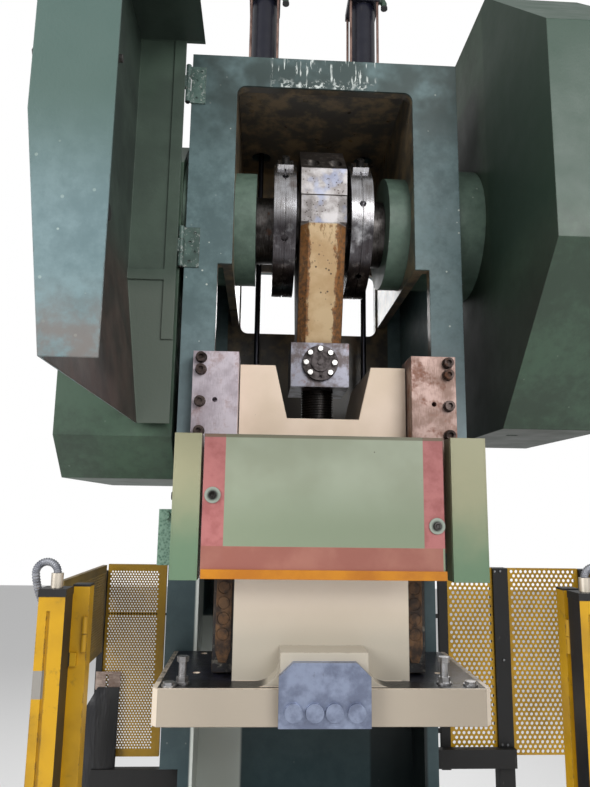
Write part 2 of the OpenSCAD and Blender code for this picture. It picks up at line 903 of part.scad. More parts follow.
module flywheel() {
  color("#6f7a76")
    difference() {
      rod_x(fly_r, fly_x, fly_x + fly_w, axis_y, crank_z);
      for (x = [fly_x - 1, fly_x + fly_w - 49])
        difference() {
          rod_x(fly_r - 80, x, x + 50, axis_y, crank_z);
          rod_x(140, x - 1, x + 51, axis_y, crank_z);
        }
      for (a = [0:60:300])
        rod_x(65, fly_x, fly_x + fly_w, axis_y + 290 * cos(a), crank_z + 290 * sin(a));
      rod_x(journal_r + run_gap, fly_x - 1, fly_x + fly_w + 1, axis_y, crank_z);
      belt_grooves(fly_r, axis_y, crank_z);
    }
}

module motor_pulley() {
  color("#6f7a76") {
    difference() {
      rod_x(pulley_r, fly_x + 5, fly_x + fly_w - 5, motor_y, motor_z);
      belt_grooves(pulley_r, motor_y, motor_z);
    }
    rod_x(motor_shaft_r, motor_x + motor_len - 20 + slide_gap, fly_x + 5, motor_y, motor_z);
  }
}

module clutch() {
  x = fly_x + fly_w + 2;
  color("#8a8a86")
    difference() {
      union() {
        rod_x(200, x, x + 18, axis_y, crank_z);
        rod_x(130, x + 18, x + 40, axis_y, crank_z);
        for (a = [0:45:315])
          rod_x(9, x + 18, x + 30, axis_y + 165 * cos(a), crank_z + 165 * sin(a));
      }
      rod_x(journal_r + press_gap, x - 1, x + 41, axis_y, crank_z);
    }
}

// A counterbalance cylinder: lower flange, tube and top cap
module cylinder_body(x) {
  color("#2c2e40")
    difference() {
      union() {
        block([x - 55, bal_y - 55, crown_top], [x + 55, bal_y + 55, crown_top + 22]);
        rod_z(bal_r, crown_top + 22, crown_top + bal_len, x, bal_y);
        block([x - 55, bal_y - 55, crown_top + bal_len], [x + 55, bal_y + 55, crown_top + bal_len + 26]);
      }
      rod_z(bal_rod_r + slide_gap, crown_top - 1, crown_top + 30, x, bal_y);
      rod_z(bal_r - 6, crown_top + 30, crown_top + bal_len, x, bal_y);
    }
}

module balance_cylinders() {
  cylinder_body(-bal_x);
  cylinder_body(bal_x);
}

module cylinder_tie_rods() {
  color("#6b4a2c")
    for (x = [-bal_x, bal_x], dx = [-47, 47], dy = [-47, 47])
      rod_z(4.5, crown_top + 22, crown_top + bal_len, x + dx, bal_y + dy);
}

module cylinder_elbows() {
  color("#3f5a48")
    for (x = [-bal_x, bal_x]) {
      rod_y(11, bal_y - 90, bal_y - 55, x + 25, crown_top + bal_len + 13);
      translate([x + 25, bal_y - 90, crown_top + bal_len + 13])
        sphere(r = 14, $fn = 32);
      rod_z(11, crown_top + bal_len + 13, crown_top + bal_len + 55, x + 25, bal_y - 90);
    }
}

module counterbalance_rods() {
  color("#2a2a30")
    for (x = [-bal_x, bal_x]) {
      rod_z(bal_rod_r, slide_top - 40, crown_top + 330, x, bal_y);
      rod_z(bal_r - 6 - slide_gap, crown_top + 330, crown_top + 356, x, bal_y);
      translate([x, bal_y, slide_top - 18])
        cylinder(r = 17, h = 18, $fn = 6);
    }
}

module front_guard_panel() {
  color("#96a587") {
    block([-panel_x, panel_front, panel_low + 30], [panel_x, panel_front + sheet, panel_top]);
    block([-panel_x, panel_front + sheet, panel_top - sheet], [panel_x, panel_front + 25, panel_top]);
  }
}

module guard_lower_strip() {
  color("#d78714")
    block([-panel_x - 4, panel_front - 6, panel_low], [panel_x + 4, panel_front, panel_low + 32]);
}

// Folded end channels: front, outer side back to the frame, short inner return
module guard_channels() {
  x0 = channel_in_x;
  x1 = channel_in_x + channel_w;
  inner_y = frame_front - gib_t - 10;
  color("#a5af8a")
    both_sides()
      along_z(panel_low, panel_top)
        polygon([
          [x0, panel_front], [x1, panel_front], [x1, frame_front], [x1 - sheet, frame_front],
          [x1 - sheet, panel_front + sheet], [x0 + sheet, panel_front + sheet],
          [x0 + sheet, inner_y], [x0, inner_y]
        ]);
}

// Bolts with washers, and the ears that tie the panel to the end channels
module guard_bolts() {
  ear = panel_front + sheet;
  color("#5c5a50")
    for (p = guard_bolt_places) {
      x = p[0] * (panel_x - 20);
      edge = p[0] * channel_in_x;
      z = panel_low + p[1] * (panel_top - panel_low);
      rod_y(16, panel_front - 3, panel_front, x, z);
      translate([x, panel_front - 3, z])
        rotate([90, 0, 0])
          cylinder(r = 10, h = 8, $fn = 6);
      block([min(x, edge), ear, z - 15], [max(x, edge), ear + 6, z + 15]);
    }
}

// A framed sheet in the plane across the press
module screen(x0, x1, z0, z1) {
  y = screen_y - 10;
  block([x0, y, z0], [x1, y + screen_t, z1]);
  for (x = [x0, x1 - 16])
    block([x, y + screen_t, z0], [x + 16, y + 12, z1]);
  for (z = [z0, z1 - 16])
    block([x0 + 16, y + screen_t, z], [x1 - 16, y + 12, z + 16]);
}

// Mesh screens: one on the left and two on the right, with the brackets that tie them to the frame
module mesh_screens() {
  mid = column_mid_w / 2;
  color("#c8a014") {
    screen(-column_left_x + column_left_w / 2, -screen_left_x, screen_low, screen_top);
    screen(bar_x + bar_w / 2, column_mid_x - mid, screen_low, screen_top);
    screen(column_mid_x + mid, column_right_x - column_right_w / 2, screen_low, screen_top);
    for (z = [screen_low + 60, screen_low + 385])
      block([-screen_left_x, screen_y - 8, z], [-frame_w / 2, screen_y, z + 12]);
  }
}

// A square tube on a foot plate with four anchor holes
module foot_post(x, y, w, d, top) {
  difference() {
    block([x - w / 2, y - d / 2, 0], [x + w / 2, y + d / 2, top]);
    block([x - w / 2 + 3, y - d / 2 + 3, 12], [x + w / 2 - 3, y + d / 2 - 3, top - 5]);
  }
  difference() {
    block([x - w / 2 - 22, y - d / 2 - 22, 0], [x + w / 2 + 22, y + d / 2 + 22, 10]);
    for (dx = [-w / 2 - 11, w / 2 + 11], dy = [-d / 2 - 11, d / 2 + 11])
      rod_z(6, -1, 11, x + dx, y + dy);
  }
}

// Bracket with the hinge eye of a gate
module gate_eye(x, z) {
  difference() {
    union() {
      block([x - 4, gate_pin_y, z], [x + 4, screen_y - column_s / 2, z + 20]);
      rod_z(8, z, z + 20, x, gate_pin_y);
    }
    rod_z(gate_pin_r + press_gap, z - 1, z + 21, x, gate_pin_y);
  }
}

module corner_columns() {
  color("#1c1a1a") {
    foot_post(-column_left_x, screen_y, column_left_w, column_s, screen_top - 20);
    foot_post(column_mid_x, screen_y, column_mid_w, column_s, screen_top);
    foot_post(column_right_x, screen_y, column_right_w, column_s, screen_top - 2);
    for (x = [-column_left_x, column_right_x], z = gate_hinge_heights)
      gate_eye(x, z);
    block([bar_x - bar_w / 2, screen_y - 10, screen_low - 40], [bar_x + bar_w / 2, screen_y + 4, screen_top]);
    for (z = [screen_low + 60, screen_low + 385])
      block([frame_w / 2, screen_y - 8, z], [bar_x - bar_w / 2, screen_y, z + 12]);
  }
}

// Front posts with hinge barrels, and the rails that tie them to the corner columns
module front_posts() {
  color("#dcac18") {
    foot_post(-post_left_x, post_y, post_s, post_s, post_top);
    foot_post(post_right_x, post_y, post_s, post_s, post_top);
    front_rail(-post_left_x - post_s / 2, -column_left_x);
    front_rail(post_right_x + post_s / 2, column_right_x);
    for (x = [-post_left_x + post_s / 2 - 5, post_right_x - post_s / 2 + 5], z = [0, 32])
      rod_z(5, post_hinge_z + z, post_hinge_z + z + 31, x, post_y - post_s / 2 - 3);
  }
}

// Rail from a front post outwards, then back to the corner column behind
module front_rail(post_face, x) {
  r = rail_s / 2;
  block([min(post_face, x - r), post_y - r, rail_z], [max(post_face, x + r), post_y + r, rail_z + rail_s]);
  block([x - r, post_y + r, rail_z], [x + r, screen_y - column_s / 2, rail_z + rail_s]);
}

// Side gate with its pin on the Z axis. The sheet lies on the +X side and hangs towards -Y
module gate() {
  block([9, -gate_len, gate_low], [9 + screen_t, -10, screen_top]);
  for (y = [-gate_len, -26])
    block([-1, y, gate_low], [9, y + 16, screen_top]);
  for (z = [gate_low, screen_top - 16])
    block([-1, 16 - gate_len, z], [9, -26, z + 16]);
  for (z = gate_hinge_heights) {
    rod_z(8, z + 20.5, z + 44, 0, 0);
    rod_z(gate_pin_r - run_gap, z, z + 20.5, 0, 0);
    block([0, -12, z + 22], [6, -2, z + 42]);
  }
}

module gate_left() {
  color("#c8a014")
    translate([-column_left_x, gate_pin_y, 0])
      gate();
}

module gate_right() {
  color("#c8a014")
    translate([column_right_x, gate_pin_y, 0])
      mirror([1, 0, 0])
        gate();
}

// Light curtain: profile housing, end caps, brackets to the post at an X, cable gland
module light_curtain(x, post) {
  h = curtain_w / 2;
  post_face = post_y - post_s / 2;
  y = post_face - curtain_gap - h;
  difference() {
    block([x - h, y - h, curtain_low], [x + h, y + h, curtain_top]);
    block([x - 8, y - h - 1, curtain_low + 25], [x - 2, y - h + 4, curtain_top - 25]);
  }
  block([x - h - 1, y - h - 1, curtain_top], [x + h + 1, y + h + 1, curtain_top + 14]);
  block([x - h - 1, y - h - 1, curtain_low - 14], [x + h + 1, y + h + 1, curtain_low]);
  for (z = [curtain_low + 70, curtain_top - 130])
    block([min(x, post), y + h, z], [max(x, post), post_face, z + 24]);
  rod_z(11, curtain_top + 14, curtain_top + 40, x, y);
}

module light_curtains() {
  color("#c8a014") {
    light_curtain(-post_left_x - curtain_left_d, -post_left_x);
    light_curtain(post_right_x + curtain_right_d, post_right_x);
  }
}

module junction_box() {
  color("#5e7d60") {
    block([-frame_w / 2 - 34, frame_front + 6, box_z], [-frame_w / 2, frame_front + 80, box_z + 132]);
    rod_y(10, frame_front - 8, frame_front + 6, -frame_w / 2 - 17, box_z + 118);
  }
}

// A hinge knuckle of the crown door with its pin hole
module knuckle(z0, z1) {
  difference() {
    union() {
      rod_z(knuckle_r, z0, z1, hinge_x, hinge_y);
      children();
    }
    rod_z(pin_r + run_gap, z0 - 1, z1 + 1, hinge_x, hinge_y);
  }
}

// Leaf on the frame with its upper and lower knuckles, and its screw holes
module frame_hinge_leaves() {
  k = hinge_h / 3;
  x1 = hinge_x + knuckle_r;
  y = frame_front - 4;
  color("#5a766e")
    for (z = hinge_heights)
      difference() {
        union() {
          for (part = [[z, z + k - 0.3], [z + 2 * k + 0.3, z + hinge_h]])
            knuckle(part[0], part[1])
              block([hinge_x, y, part[0]], [x1 + 1, y + 2, part[1]]);
          block([x1 + 0.5, y, z], [hinge_x + 47, frame_front, z + hinge_h]);
        }
        for (i = [0:3])
          rod_y(3.5, y - 1, y + 2, hinge_x + (i % 2 == 0 ? 22 : 34), z + 15 + i * 26);
      }
}

module hinge_pins() {
  color("#77756f")
    for (z = hinge_heights) {
      rod_z(pin_r, z, z + hinge_h, hinge_x, hinge_y);
      rod_z(pin_r + 2, z - 3, z, hinge_x, hinge_y);
    }
}

// What is drawn closed is shown with the door swung open
module swung_open() {
  translate([hinge_x, hinge_y, 0])
    rotate([0, 0, -door_angle])
      translate([-hinge_x, -hinge_y, 0])
        children();
}

module door_hinge_leaves() {
  k = hinge_h / 3;
  color("#5a766e")
    swung_open()
      for (z = hinge_heights) {
        knuckle(z + k + 0.3, z + 2 * k - 0.3)
          block([hinge_x, hinge_y - 10, z + k + 0.3], [hinge_x + knuckle_r, hinge_y - 4, z + 2 * k - 0.3]);
        block([door_x - 4, door_back - 40, z], [door_x, door_back - 1, z + hinge_h]);
        block([door_x - 4, door_back - 5, z + k + 0.3], [door_x, hinge_y - 4, z + 2 * k - 0.3]);
      }
}

// Side outline of the door: straight above the fold, tapering below it
module door_outline(inset) {
  polygon([
    [door_back + 1, door_low - 1], [door_back - door_low_d + inset, door_low - 1],
    [door_back - door_d + inset, door_fold], [door_back - door_d + inset, door_top - inset],
    [door_back + 1, door_top - inset]
  ]);
}

module crown_door() {
  x = door_x + sheet;
  color("#7d968f")
    swung_open() {
      difference() {
        along_x(door_x, door_x + door_w)
          difference() {
            door_outline(0);
            translate([door_back, door_low - 10])
              square([50, door_top]);
            translate([door_back - 300, door_low - 20])
              square([400, 20]);
          }
        along_x(door_x + sheet, door_x + door_w - sheet)
          door_outline(sheet);
        rod_y(9, door_back - door_d - 1, door_back - door_d + sheet + 1, door_bolt_x, door_bolt_z);
      }
      block([door_x, door_back, door_top - sheet], [door_x + door_w, door_back + 50, door_top]);
      block([x, door_back - 30, door_low + 210], [x + 5, door_back, door_top - sheet]);
      block([x, door_back - door_d + sheet, door_fold - 6], [x + 5, door_back - 30, door_fold + 22]);
    }
}

module door_bolt() {
  y0 = door_back - door_d;
  color("#8c8880")
    swung_open() {
      rod_y(16, y0 - 4, y0, door_bolt_x, door_bolt_z);
      translate([door_bolt_x, y0 - 4, door_bolt_z])
        rotate([90, 0, 0])
          cylinder(r = 11, h = 9, $fn = 6);
      rod_y(6, y0, door_back - 2, door_bolt_x, door_bolt_z);
    }
}

module door_buffer() {
  x = door_x + door_w - sheet;
  color("#1a1a1a")
    swung_open()
      translate([0, 0, buffer_z]) {
        rod_y(12, door_back - 16, door_back - 2, x - 14, 0);
        block([x - 28, door_back - 30, -10], [x, door_back - 16, 10]);
      }
}

module crankshaft() {
  color("#9a9a98") {
    rod_x(journal_r, -drum_x - drum_w - 20, shaft_end_x, axis_y, crank_z);
    rod_x(shoulder_r, ring_x - 6, boss_in_x - slide_gap, axis_y, crank_z);
    rod_x(shoulder_r, -boss_in_x + slide_gap, -ring_x + 6, axis_y, crank_z);
    rod_x(ecc_r, -ring_x + 6, ring_x - 6, axis_y, end_z);
  }
}

// Stroke ring on the right: grooved steel ring with radial holes and its clamp block
module stroke_ring(hole_angles) {
  x0 = ring_x;
  x1 = ring_x + ring_w;
  color("#b6b6ba")
    difference() {
      union() {
        rod_x(ring_r, x0, x1, axis_y, crank_z);
        translate([x0 + 8, axis_y, crank_z])
          rotate([45, 0, 0])
            translate([0, -21, ring_r - 6])
              cube([ring_w - 16, 42, 18]);
      }
      rod_x(shoulder_r + press_gap, x0 - 1, x1 + 1, axis_y, crank_z);
      difference() {
        rod_x(ring_r + 1, (x0 + x1) / 2 - 1.5, (x0 + x1) / 2 + 1.5, axis_y, crank_z);
        rod_x(ring_r - 4, x0, x1, axis_y, crank_z);
      }
      translate([(x0 + x1) / 2 - 1.5, axis_y, crank_z])
        rotate([45, 0, 0])
          translate([0, -24, ring_r - 60])
            cube([3, 0.5, 80]);
      for (a = hole_angles)
        translate([(x0 + x1) / 2, axis_y, crank_z])
          rotate([a, 0, 0])
            translate([0, 0, ring_r - 35])
              cylinder(r = 9, h = 40);
      translate([(x0 + x1) / 2, axis_y, crank_z])
        rotate([45, 0, 0])
          translate([0, 6, ring_r - 20])
            cylinder(r = 6 + seat_gap, h = 40);
    }
}

module stroke_ring_left() {
  mirror([1, 0, 0])
    stroke_ring([62, 118, 190, 260]);
}

module stroke_ring_right() {
  stroke_ring([88, 150, 220, 290]);
}

// Socket screws in the clamp blocks of the stroke rings
module ring_screws() {
  color("#6a6864")
    both_sides()
      translate([ring_x + ring_w / 2, axis_y, crank_z])
        rotate([45, 0, 0])
          translate([0, 6, ring_r + 12])
            difference() {
              union() {
                cylinder(r = 11, h = 14);
                translate([0, 0, -30])
                  cylinder(r = 6, h = 30);
              }
              translate([0, 0, 6])
                cylinder(r = 6, h = 9, $fn = 6);
            }
}

// Half outline of the octagonal big end, from the split line up
module cap_outline() {
  h = rod_head_w / 2;
  translate([axis_y, end_z])
    polygon([[-h, 0], [-h, rod_flat], [-rod_flat, h], [rod_flat, h], [h, rod_flat], [h, 0]]);
}

module rod_cap() {
  color("#b9b4ac")
    difference() {
      along_x(-rod_t / 2, rod_t / 2)
        cap_outline();
      rod_x(end_bush_r, -rod_t, rod_t, axis_y, end_z);
      for (y = [axis_y - cap_bolt_y, axis_y + cap_bolt_y], x = [-rod_t / 4, rod_t / 4]) {
        rod_z(cap_bolt_r + seat_gap, end_z - 1, end_z + 200, x, y);
        rod_z(cap_bolt_r * 1.7, end_z + rod_flat - 10, end_z + 200, x, y);
      }
    }
}

module cap_bolts() {
  color("#4a4846")
    for (y = [axis_y - cap_bolt_y, axis_y + cap_bolt_y], x = [-rod_t / 4, rod_t / 4]) {
      rod_z(cap_bolt_r, end_z - 60, end_z + rod_flat - 10, x, y);
      rod_z(cap_bolt_r * 1.5, end_z + rod_flat - 10, end_z + rod_flat + 12, x, y);
    }
}

// Plan section of the shank: a rectangle with chamfered corners
module shank_section(depth) {
  w = rod_t / 2;
  d = depth / 2;
  c = rod_chamfer;
  polygon([
    [-w, -d + c], [-w + c, -d], [w - c, -d], [w, -d + c],
    [w, d - c], [w - c, d], [-w + c, d], [-w, d - c]
  ]);
}

module connecting_rod() {
  h = rod_head_w / 2;
  color("#c8af87")
    difference() {
      union() {
        block([-rod_t / 2, axis_y - h, end_z - rod_flat], [rod_t / 2, axis_y + h, end_z]);
        hull() {
          translate([0, axis_y, end_z - rod_flat - 1])
            linear_extrude(1)
              shank_section(rod_head_w);
          translate([0, axis_y, rod_foot_z])
            linear_extrude(1)
              shank_section(rod_foot_d);
        }
      }
      rod_x(end_bush_r, -rod_t, rod_t, axis_y, end_z);
      for (y = [axis_y - cap_bolt_y, axis_y + cap_bolt_y], x = [-rod_t / 4, rod_t / 4])
        rod_z(cap_bolt_r + seat_gap, end_z - 62, end_z + 1, x, y);
      rod_z(screw_r + seat_gap, rod_foot_z - 1, screw_top + 2, 0, axis_y);
    }
}

module big_end_bush() {
  color("#b08d57")
    difference() {
      rod_x(end_bush_r - press_gap, -rod_t / 2, rod_t / 2, axis_y, end_z);
      rod_x(ecc_r + run_gap, -rod_t, rod_t, axis_y, end_z);
    }
}

module adjusting_block() {
  z = rod_foot_z - block_h;
  color("#8f8f94")
    difference() {
      block([-block_w / 2, block_front, z], [block_w / 2, block_front + block_d, rod_foot_z]);
      rod_z(screw_r + seat_gap, z - 1, rod_foot_z + 1, 0, axis_y);
    }
}

module block_cover() {
  color("#55555a")
    difference() {
      union() {
        rod_y(cover_r, block_front - 12, block_front, 0, cover_z);
        rod_y(cover_r * 0.52, block_front - 17, block_front - 12, 0, cover_z);
        rod_y(8, block_front - 20, block_front - 17, 0, cover_z);
      }
      rod_y(4, block_front - 13, block_front - 4, 0, cover_z - cover_r * 0.8);
    }
}

module cover_bolts() {
  r = cover_r * 0.8;
  color("#d8d8d8")
    for (a = [225:45:495])
      rod_y(7, block_front - 19, block_front - 12, r * sin(a), cover_z + r * cos(a));
}

module adjusting_screw() {
  color("#2c2a28") {
    rod_z(screw_r, ball_z + ball_r * 0.6, screw_top, 0, axis_y);
    difference() {
      translate([0, axis_y, ball_z])
        sphere(r = ball_r);
      rod_z(ball_r, ball_z - ball_r - 1, ball_z - ball_r + 6, 0, axis_y);
    }
  }
}

// Front outline of the slide with the notch between its horns
module slide_outline() {
  polygon([
    [-slide_w / 2, flange_z + flange_t - 1], [slide_w / 2, flange_z + flange_t - 1],
    [slide_w / 2, slide_top], [notch_top_w / 2, slide_top], [notch_low_w / 2, notch_z],
    [-notch_low_w / 2, notch_z], [-notch_top_w / 2, slide_top], [-slide_w / 2, slide_top]
  ]);
}

module flange_outline() {
  c = 14;
  x = flange_w / 2;
  polygon([
    [-x, flange_front + c], [-x + c, flange_front], [x - c, flange_front], [x, flange_front + c],
    [x, flange_back], [-x, flange_back]
  ]);
}

// Cove in the corner between the shank boss and the flange, in front view
module cove_outline() {
  x = shank_boss_w / 2 + cove_r;
  top = flange_z + flange_t + cove_r;
  difference() {
    translate([shank_boss_w / 2 - 1, flange_z + flange_t - 5])
      square([cove_r + 1, cove_r + 5]);
    translate([x, top])
      circle(cove_r);
  }
}

module slide() {
  boss_x = shank_boss_w / 2;
  boss_y = flange_front - shank_boss_out;
  color("#decdaf")
    difference() {
      union() {
        along_y(slide_front, slide_back)
          slide_outline();
        block([-wing_x, wing_front, flange_z + flange_t + 6], [-slide_w / 2 + 1, wing_back, slide_top]);
        block([slide_w / 2 - 1, wing_front, flange_z + flange_t + 6], [wing_x, wing_back, slide_top]);
        along_z(flange_z, flange_z + flange_t)
          flange_outline();
        both_sides()
          along_y(flange_front + cove_back, slide_front + 1)
            cove_outline();
        block([-boss_x, boss_y, flange_z], [boss_x, slide_front + 1, flange_z + shank_boss_h]);
        for (x = [-bal_x, bal_x])
          block([x - 24, slide_back - 1, slide_top - 110], [x + 24, bal_y + 24, slide_top - 18]);
      }
      rod_z(pocket_r, pocket_z, notch_z + 1, 0, axis_y);
      rod_z(shank_r, flange_z - 1, flange_z + shank_depth, 0, axis_y);
      for (x = [-die_x / 2, die_x / 2], y = [axis_y - die_y / 2, axis_y + die_y / 2])
        rod_z(die_r, flange_z - 1, flange_z + flange_t + 1, x, y);
      for (x = [-bal_x, bal_x])
        rod_z(bal_rod_r + seat_gap, slide_top - 42, slide_top - 17, x, bal_y);
      for (i = [0:3])
        rod_y(clamp_bolt_r, boss_y - 1, boss_y + 50, clamp_xs[i], clamp_bolt_z);
    }
}

// Steel clamp plate over the shank boss with its four bolts
module clamp_plate() {
  w = shank_boss_w / 2 + 3;
  y1 = flange_front - shank_boss_out;
  z0 = flange_z + 5;
  z1 = flange_z + 112;
  z2 = flange_z + 142;
  color("#92929c") {
    along_y(y1 - clamp_t, y1)
      polygon([[-w, z0], [w, z0], [w, z1], [w - 32, z2], [-w + 32, z2], [-w, z1]]);
    for (x = clamp_xs) {
      rod_y(20, y1 - clamp_t - 9, y1 - clamp_t, x, clamp_bolt_z);
      rod_y(8, y1, y1 + 30, x, clamp_bolt_z);
    }
  }
}

// One guide strip: a bearing strip with a tapered lower end and a row of ring-shaped oil grooves
module guide_strip() {
  w = strip_w / 2;
  x = gib_x + 4 + w;
  low = flange_z + flange_t + 30;
  difference() {
    union() {
      block([x - w, strip_front, low + 30], [x + w, wing_front, slide_top - 6]);
      along_y(strip_front, wing_front)
        polygon([[x - w, low + 30], [x - w / 2, low], [x + w / 2, low], [x + w, low + 30]]);
    }
    for (z = [low + 66:groove_pitch:slide_top - 40])
      difference() {
        rod_y(groove_r, strip_front - 1, strip_front + 1.5, x, z);
        rod_y(groove_r - 2.5, strip_front - 2, strip_front + 2, x, z);
      }
  }
}

module guide_strips() {
  color("#6b4a34")
    both_sides()
      guide_strip();
}

// Studs with nuts and washers on the flange's top face
module flange_fasteners() {
  z0 = flange_z + flange_t;
  color("#6e6a60")
    for (p = flange_studs) {
      top = z0 + p.z;
      nut = min(12, p.z - 4);
      rod_z(17, z0, z0 + 4, p.x, p.y);
      for (z = p.z > 20 ? [z0 + 4, top - nut] : [z0 + 4])
        translate([p.x, p.y, z])
          cylinder(r = 14, h = nut, $fn = 6);
      if (p.z > 20)
        rod_z(9, z0 + 4 + nut, top - nut, p.x, p.y);
    }
}

side_plates();
front_plates();
rear_plates();
level_plates();
inner_walls();
guide_housings();
bearing_bosses();
bolster_plate();
bolster_bolts();
gib_plates();
gib_screws();
main_bearings();
flywheel_guard();
flywheel_guard_cover();
brake_guard();
brake_band();
motor();
motor_bracket();
drive_belts();
balance_cylinders();
cylinder_tie_rods();
cylinder_elbows();
front_guard_panel();
guard_channels();
guard_lower_strip();
guard_bolts();
mesh_screens();
corner_columns();
front_posts();
light_curtains();
junction_box();
frame_hinge_leaves();
hinge_pins();
crown_door();
door_hinge_leaves();
door_bolt();
door_buffer();
gate_left();
gate_right();
crankshaft();
stroke_ring_left();
stroke_ring_right();
ring_screws();
brake_drum();
clutch();
connecting_rod();
rod_cap();
cap_bolts();
big_end_bush();
adjusting_block();
block_cover();
cover_bolts();
adjusting_screw();
slide();
guide_strips();
clamp_plate();
flange_fasteners();
counterbalance_rods();
flywheel();
motor_pulley();
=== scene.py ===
import math

import bpy
from mathutils import Matrix, Vector


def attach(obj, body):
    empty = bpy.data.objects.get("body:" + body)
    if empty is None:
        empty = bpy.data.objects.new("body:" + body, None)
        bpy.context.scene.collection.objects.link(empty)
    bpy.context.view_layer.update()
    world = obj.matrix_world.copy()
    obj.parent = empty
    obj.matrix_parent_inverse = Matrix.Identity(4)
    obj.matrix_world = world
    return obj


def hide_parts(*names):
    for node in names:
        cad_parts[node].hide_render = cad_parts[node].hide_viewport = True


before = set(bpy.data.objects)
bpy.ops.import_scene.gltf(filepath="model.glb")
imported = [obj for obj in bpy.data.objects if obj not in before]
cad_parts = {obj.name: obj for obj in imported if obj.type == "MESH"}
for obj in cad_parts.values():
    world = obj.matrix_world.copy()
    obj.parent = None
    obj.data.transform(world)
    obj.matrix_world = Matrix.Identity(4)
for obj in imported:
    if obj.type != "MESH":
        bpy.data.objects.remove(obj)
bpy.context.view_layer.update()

# Camera: stands in front of the press at eye height, a little left of its middle line.
# It looks slightly up and to the right, with the short lens of a hand-held photograph.
EYE = Vector((-0.1523, -2.0369, 1.600))
YAW, PITCH, ROLL = (math.radians(a) for a in (2.8136, 9.8537, 0.8095))
# Focal length and picture height in pixels, and the sensor's longer side in millimetres
FOCAL, PICTURE, SENSOR = 661.65, 787, 36
forward = Vector((math.sin(YAW) * math.cos(PITCH), math.cos(YAW) * math.cos(PITCH), math.sin(PITCH)))
level = Vector((math.cos(YAW), -math.sin(YAW), 0))
upright = level.cross(forward)
right = math.cos(ROLL) * level + math.sin(ROLL) * upright
up = math.cos(ROLL) * upright - math.sin(ROLL) * level
lens = bpy.data.cameras.new("camera")
lens.sensor_width = SENSOR
lens.lens = SENSOR * FOCAL / PICTURE
camera = bpy.data.objects.new("camera", lens)
camera.matrix_world = Matrix.Translation(EYE) @ Matrix((right, up, -forward)).transposed().to_4x4()
bpy.context.scene.collection.objects.link(camera)
bpy.context.scene.camera = camera


# Conduits: a short corrugated steel conduit leaves the gland on each light curtain, arches
# over outwards and goes into the post behind the curtain.
def rgb(red, green, blue):
    """A colour of 0 to 255 as Blender's linear colour."""
    parts = [c / 255 for c in (red, green, blue)]
    return tuple(c / 12.92 if c <= 0.04045 else ((c + 0.055) / 1.055) ** 2.4 for c in parts) + (1.0,)


class Shade:
    """A socket in a material's node tree. Sums on it add Math nodes."""

    def __init__(self, tree, socket=None):
        self.tree = tree
        self.socket = socket

    def node(self, kind, settings=None, inputs=None, out=0):
        """One output of a new node, from its type, settings, and values or links by socket."""
        made = self.tree.nodes.new("ShaderNode" + kind)
        for name, value in (settings or {}).items():
            setattr(made, name, value)
        for name, value in (inputs or {}).items():
            if isinstance(value, Shade):
                self.tree.links.new(value.socket, made.inputs[name])
            else:
                made.inputs[name].default_value = value
        return Shade(self.tree, made.outputs[out])

    def math(self, operation, first, second=0.0):
        """A Math node's result."""
        return self.node("Math", {"operation": operation}, {0: first, 1: second})

    def __add__(self, other):
        return self.math("ADD", self, other)

    def __sub__(self, other):
        return self.math("SUBTRACT", self, other)

    def __rsub__(self, other):
        return self.math("SUBTRACT", other, self)

    def __mul__(self, other):
        return self.math("MULTIPLY", self, other)

    __radd__ = __add__
    __rmul__ = __mul__

    def __or__(self, other):
        return self.math("MAXIMUM", self, other)

    def __abs__(self):
        return self.math("ABSOLUTE", self)

    def step(self, low, high):
        """0 below low and 1 above high, or the other way round, and smooth between."""
        ends = {1: min(low, high), 2: max(low, high)}
        ends.update({3: 0.0, 4: 1.0} if low < high else {3: 1.0, 4: 0.0})
        return self.node("MapRange", {"interpolation_type": "SMOOTHSTEP"}, {0: self, **ends})

    def pick(self, low, high):
        """The colour low where this is 0, and high where it is 1."""
        return self.node("Mix", {"data_type": "RGBA"}, {0: self, 6: low, 7: high}, 2)

    def part(self, axis):
        """X, Y or Z of a place, for axis 0, 1 or 2."""
        return self.node("SeparateXYZ", None, {0: self}, axis)

    def noise(self, size, detail=3.0, rough=0.55, stretch=(1, 1, 1)):
        """Cloudy noise about 0.5, with lumps of a size in metres, longer along a stretched axis."""
        place = self.node("VectorMath", {"operation": "DIVIDE"}, {0: self, 1: stretch})
        settings = {"Scale": 1 / size, "Detail": detail, "Roughness": rough}
        return self.node("TexNoise", {"normalize": True}, {"Vector": place, **settings})

    def away(self, centre, plane):
        """Distance from a line through a centre, across the plane whose axes are 1."""
        flat = self.node("VectorMath", {"operation": "MULTIPLY"}, {0: self, 1: plane})
        return self.node("VectorMath", {"operation": "DISTANCE"}, {0: flat, 1: centre}, 1)

    def cells(self, size):
        """Distance to the nearest of scattered points that lie about a size apart."""
        return self.node("TexVoronoi", None, {"Vector": self, "Scale": 1 / size})

    def edges(self, radius=0.004):
        """1 along outer and inner edges, and 0 on flat faces."""
        soft = self.node("Bevel", {"samples": 4}, {"Radius": radius})
        flat = self.node("NewGeometry", None, None, 3)
        return 1 - self.node("VectorMath", {"operation": "DOT_PRODUCT"}, {0: soft, 1: flat}, 1)

    def bump(self, height, radius):
        """The surface normal with rounded edges and a height in metres on it."""
        soft = self.node("Bevel", {"samples": 4}, {"Radius": radius})
        return self.node("Bump", None, {"Distance": 1.0, "Strength": 1.0, "Height": height, "Normal": soft})


def finish(name, look):
    """A material whose sockets take what look(place) says of them."""
    material = bpy.data.materials.new(name)
    material.use_nodes = True
    tree = material.node_tree
    surface = tree.nodes["Principled BSDF"]
    for socket, value in look(Shade(tree).node("TexCoord", None, None, 3)).items():
        if isinstance(value, Shade):
            tree.links.new(value.socket, surface.inputs[socket])
        else:
            surface.inputs[socket].default_value = value
    return material


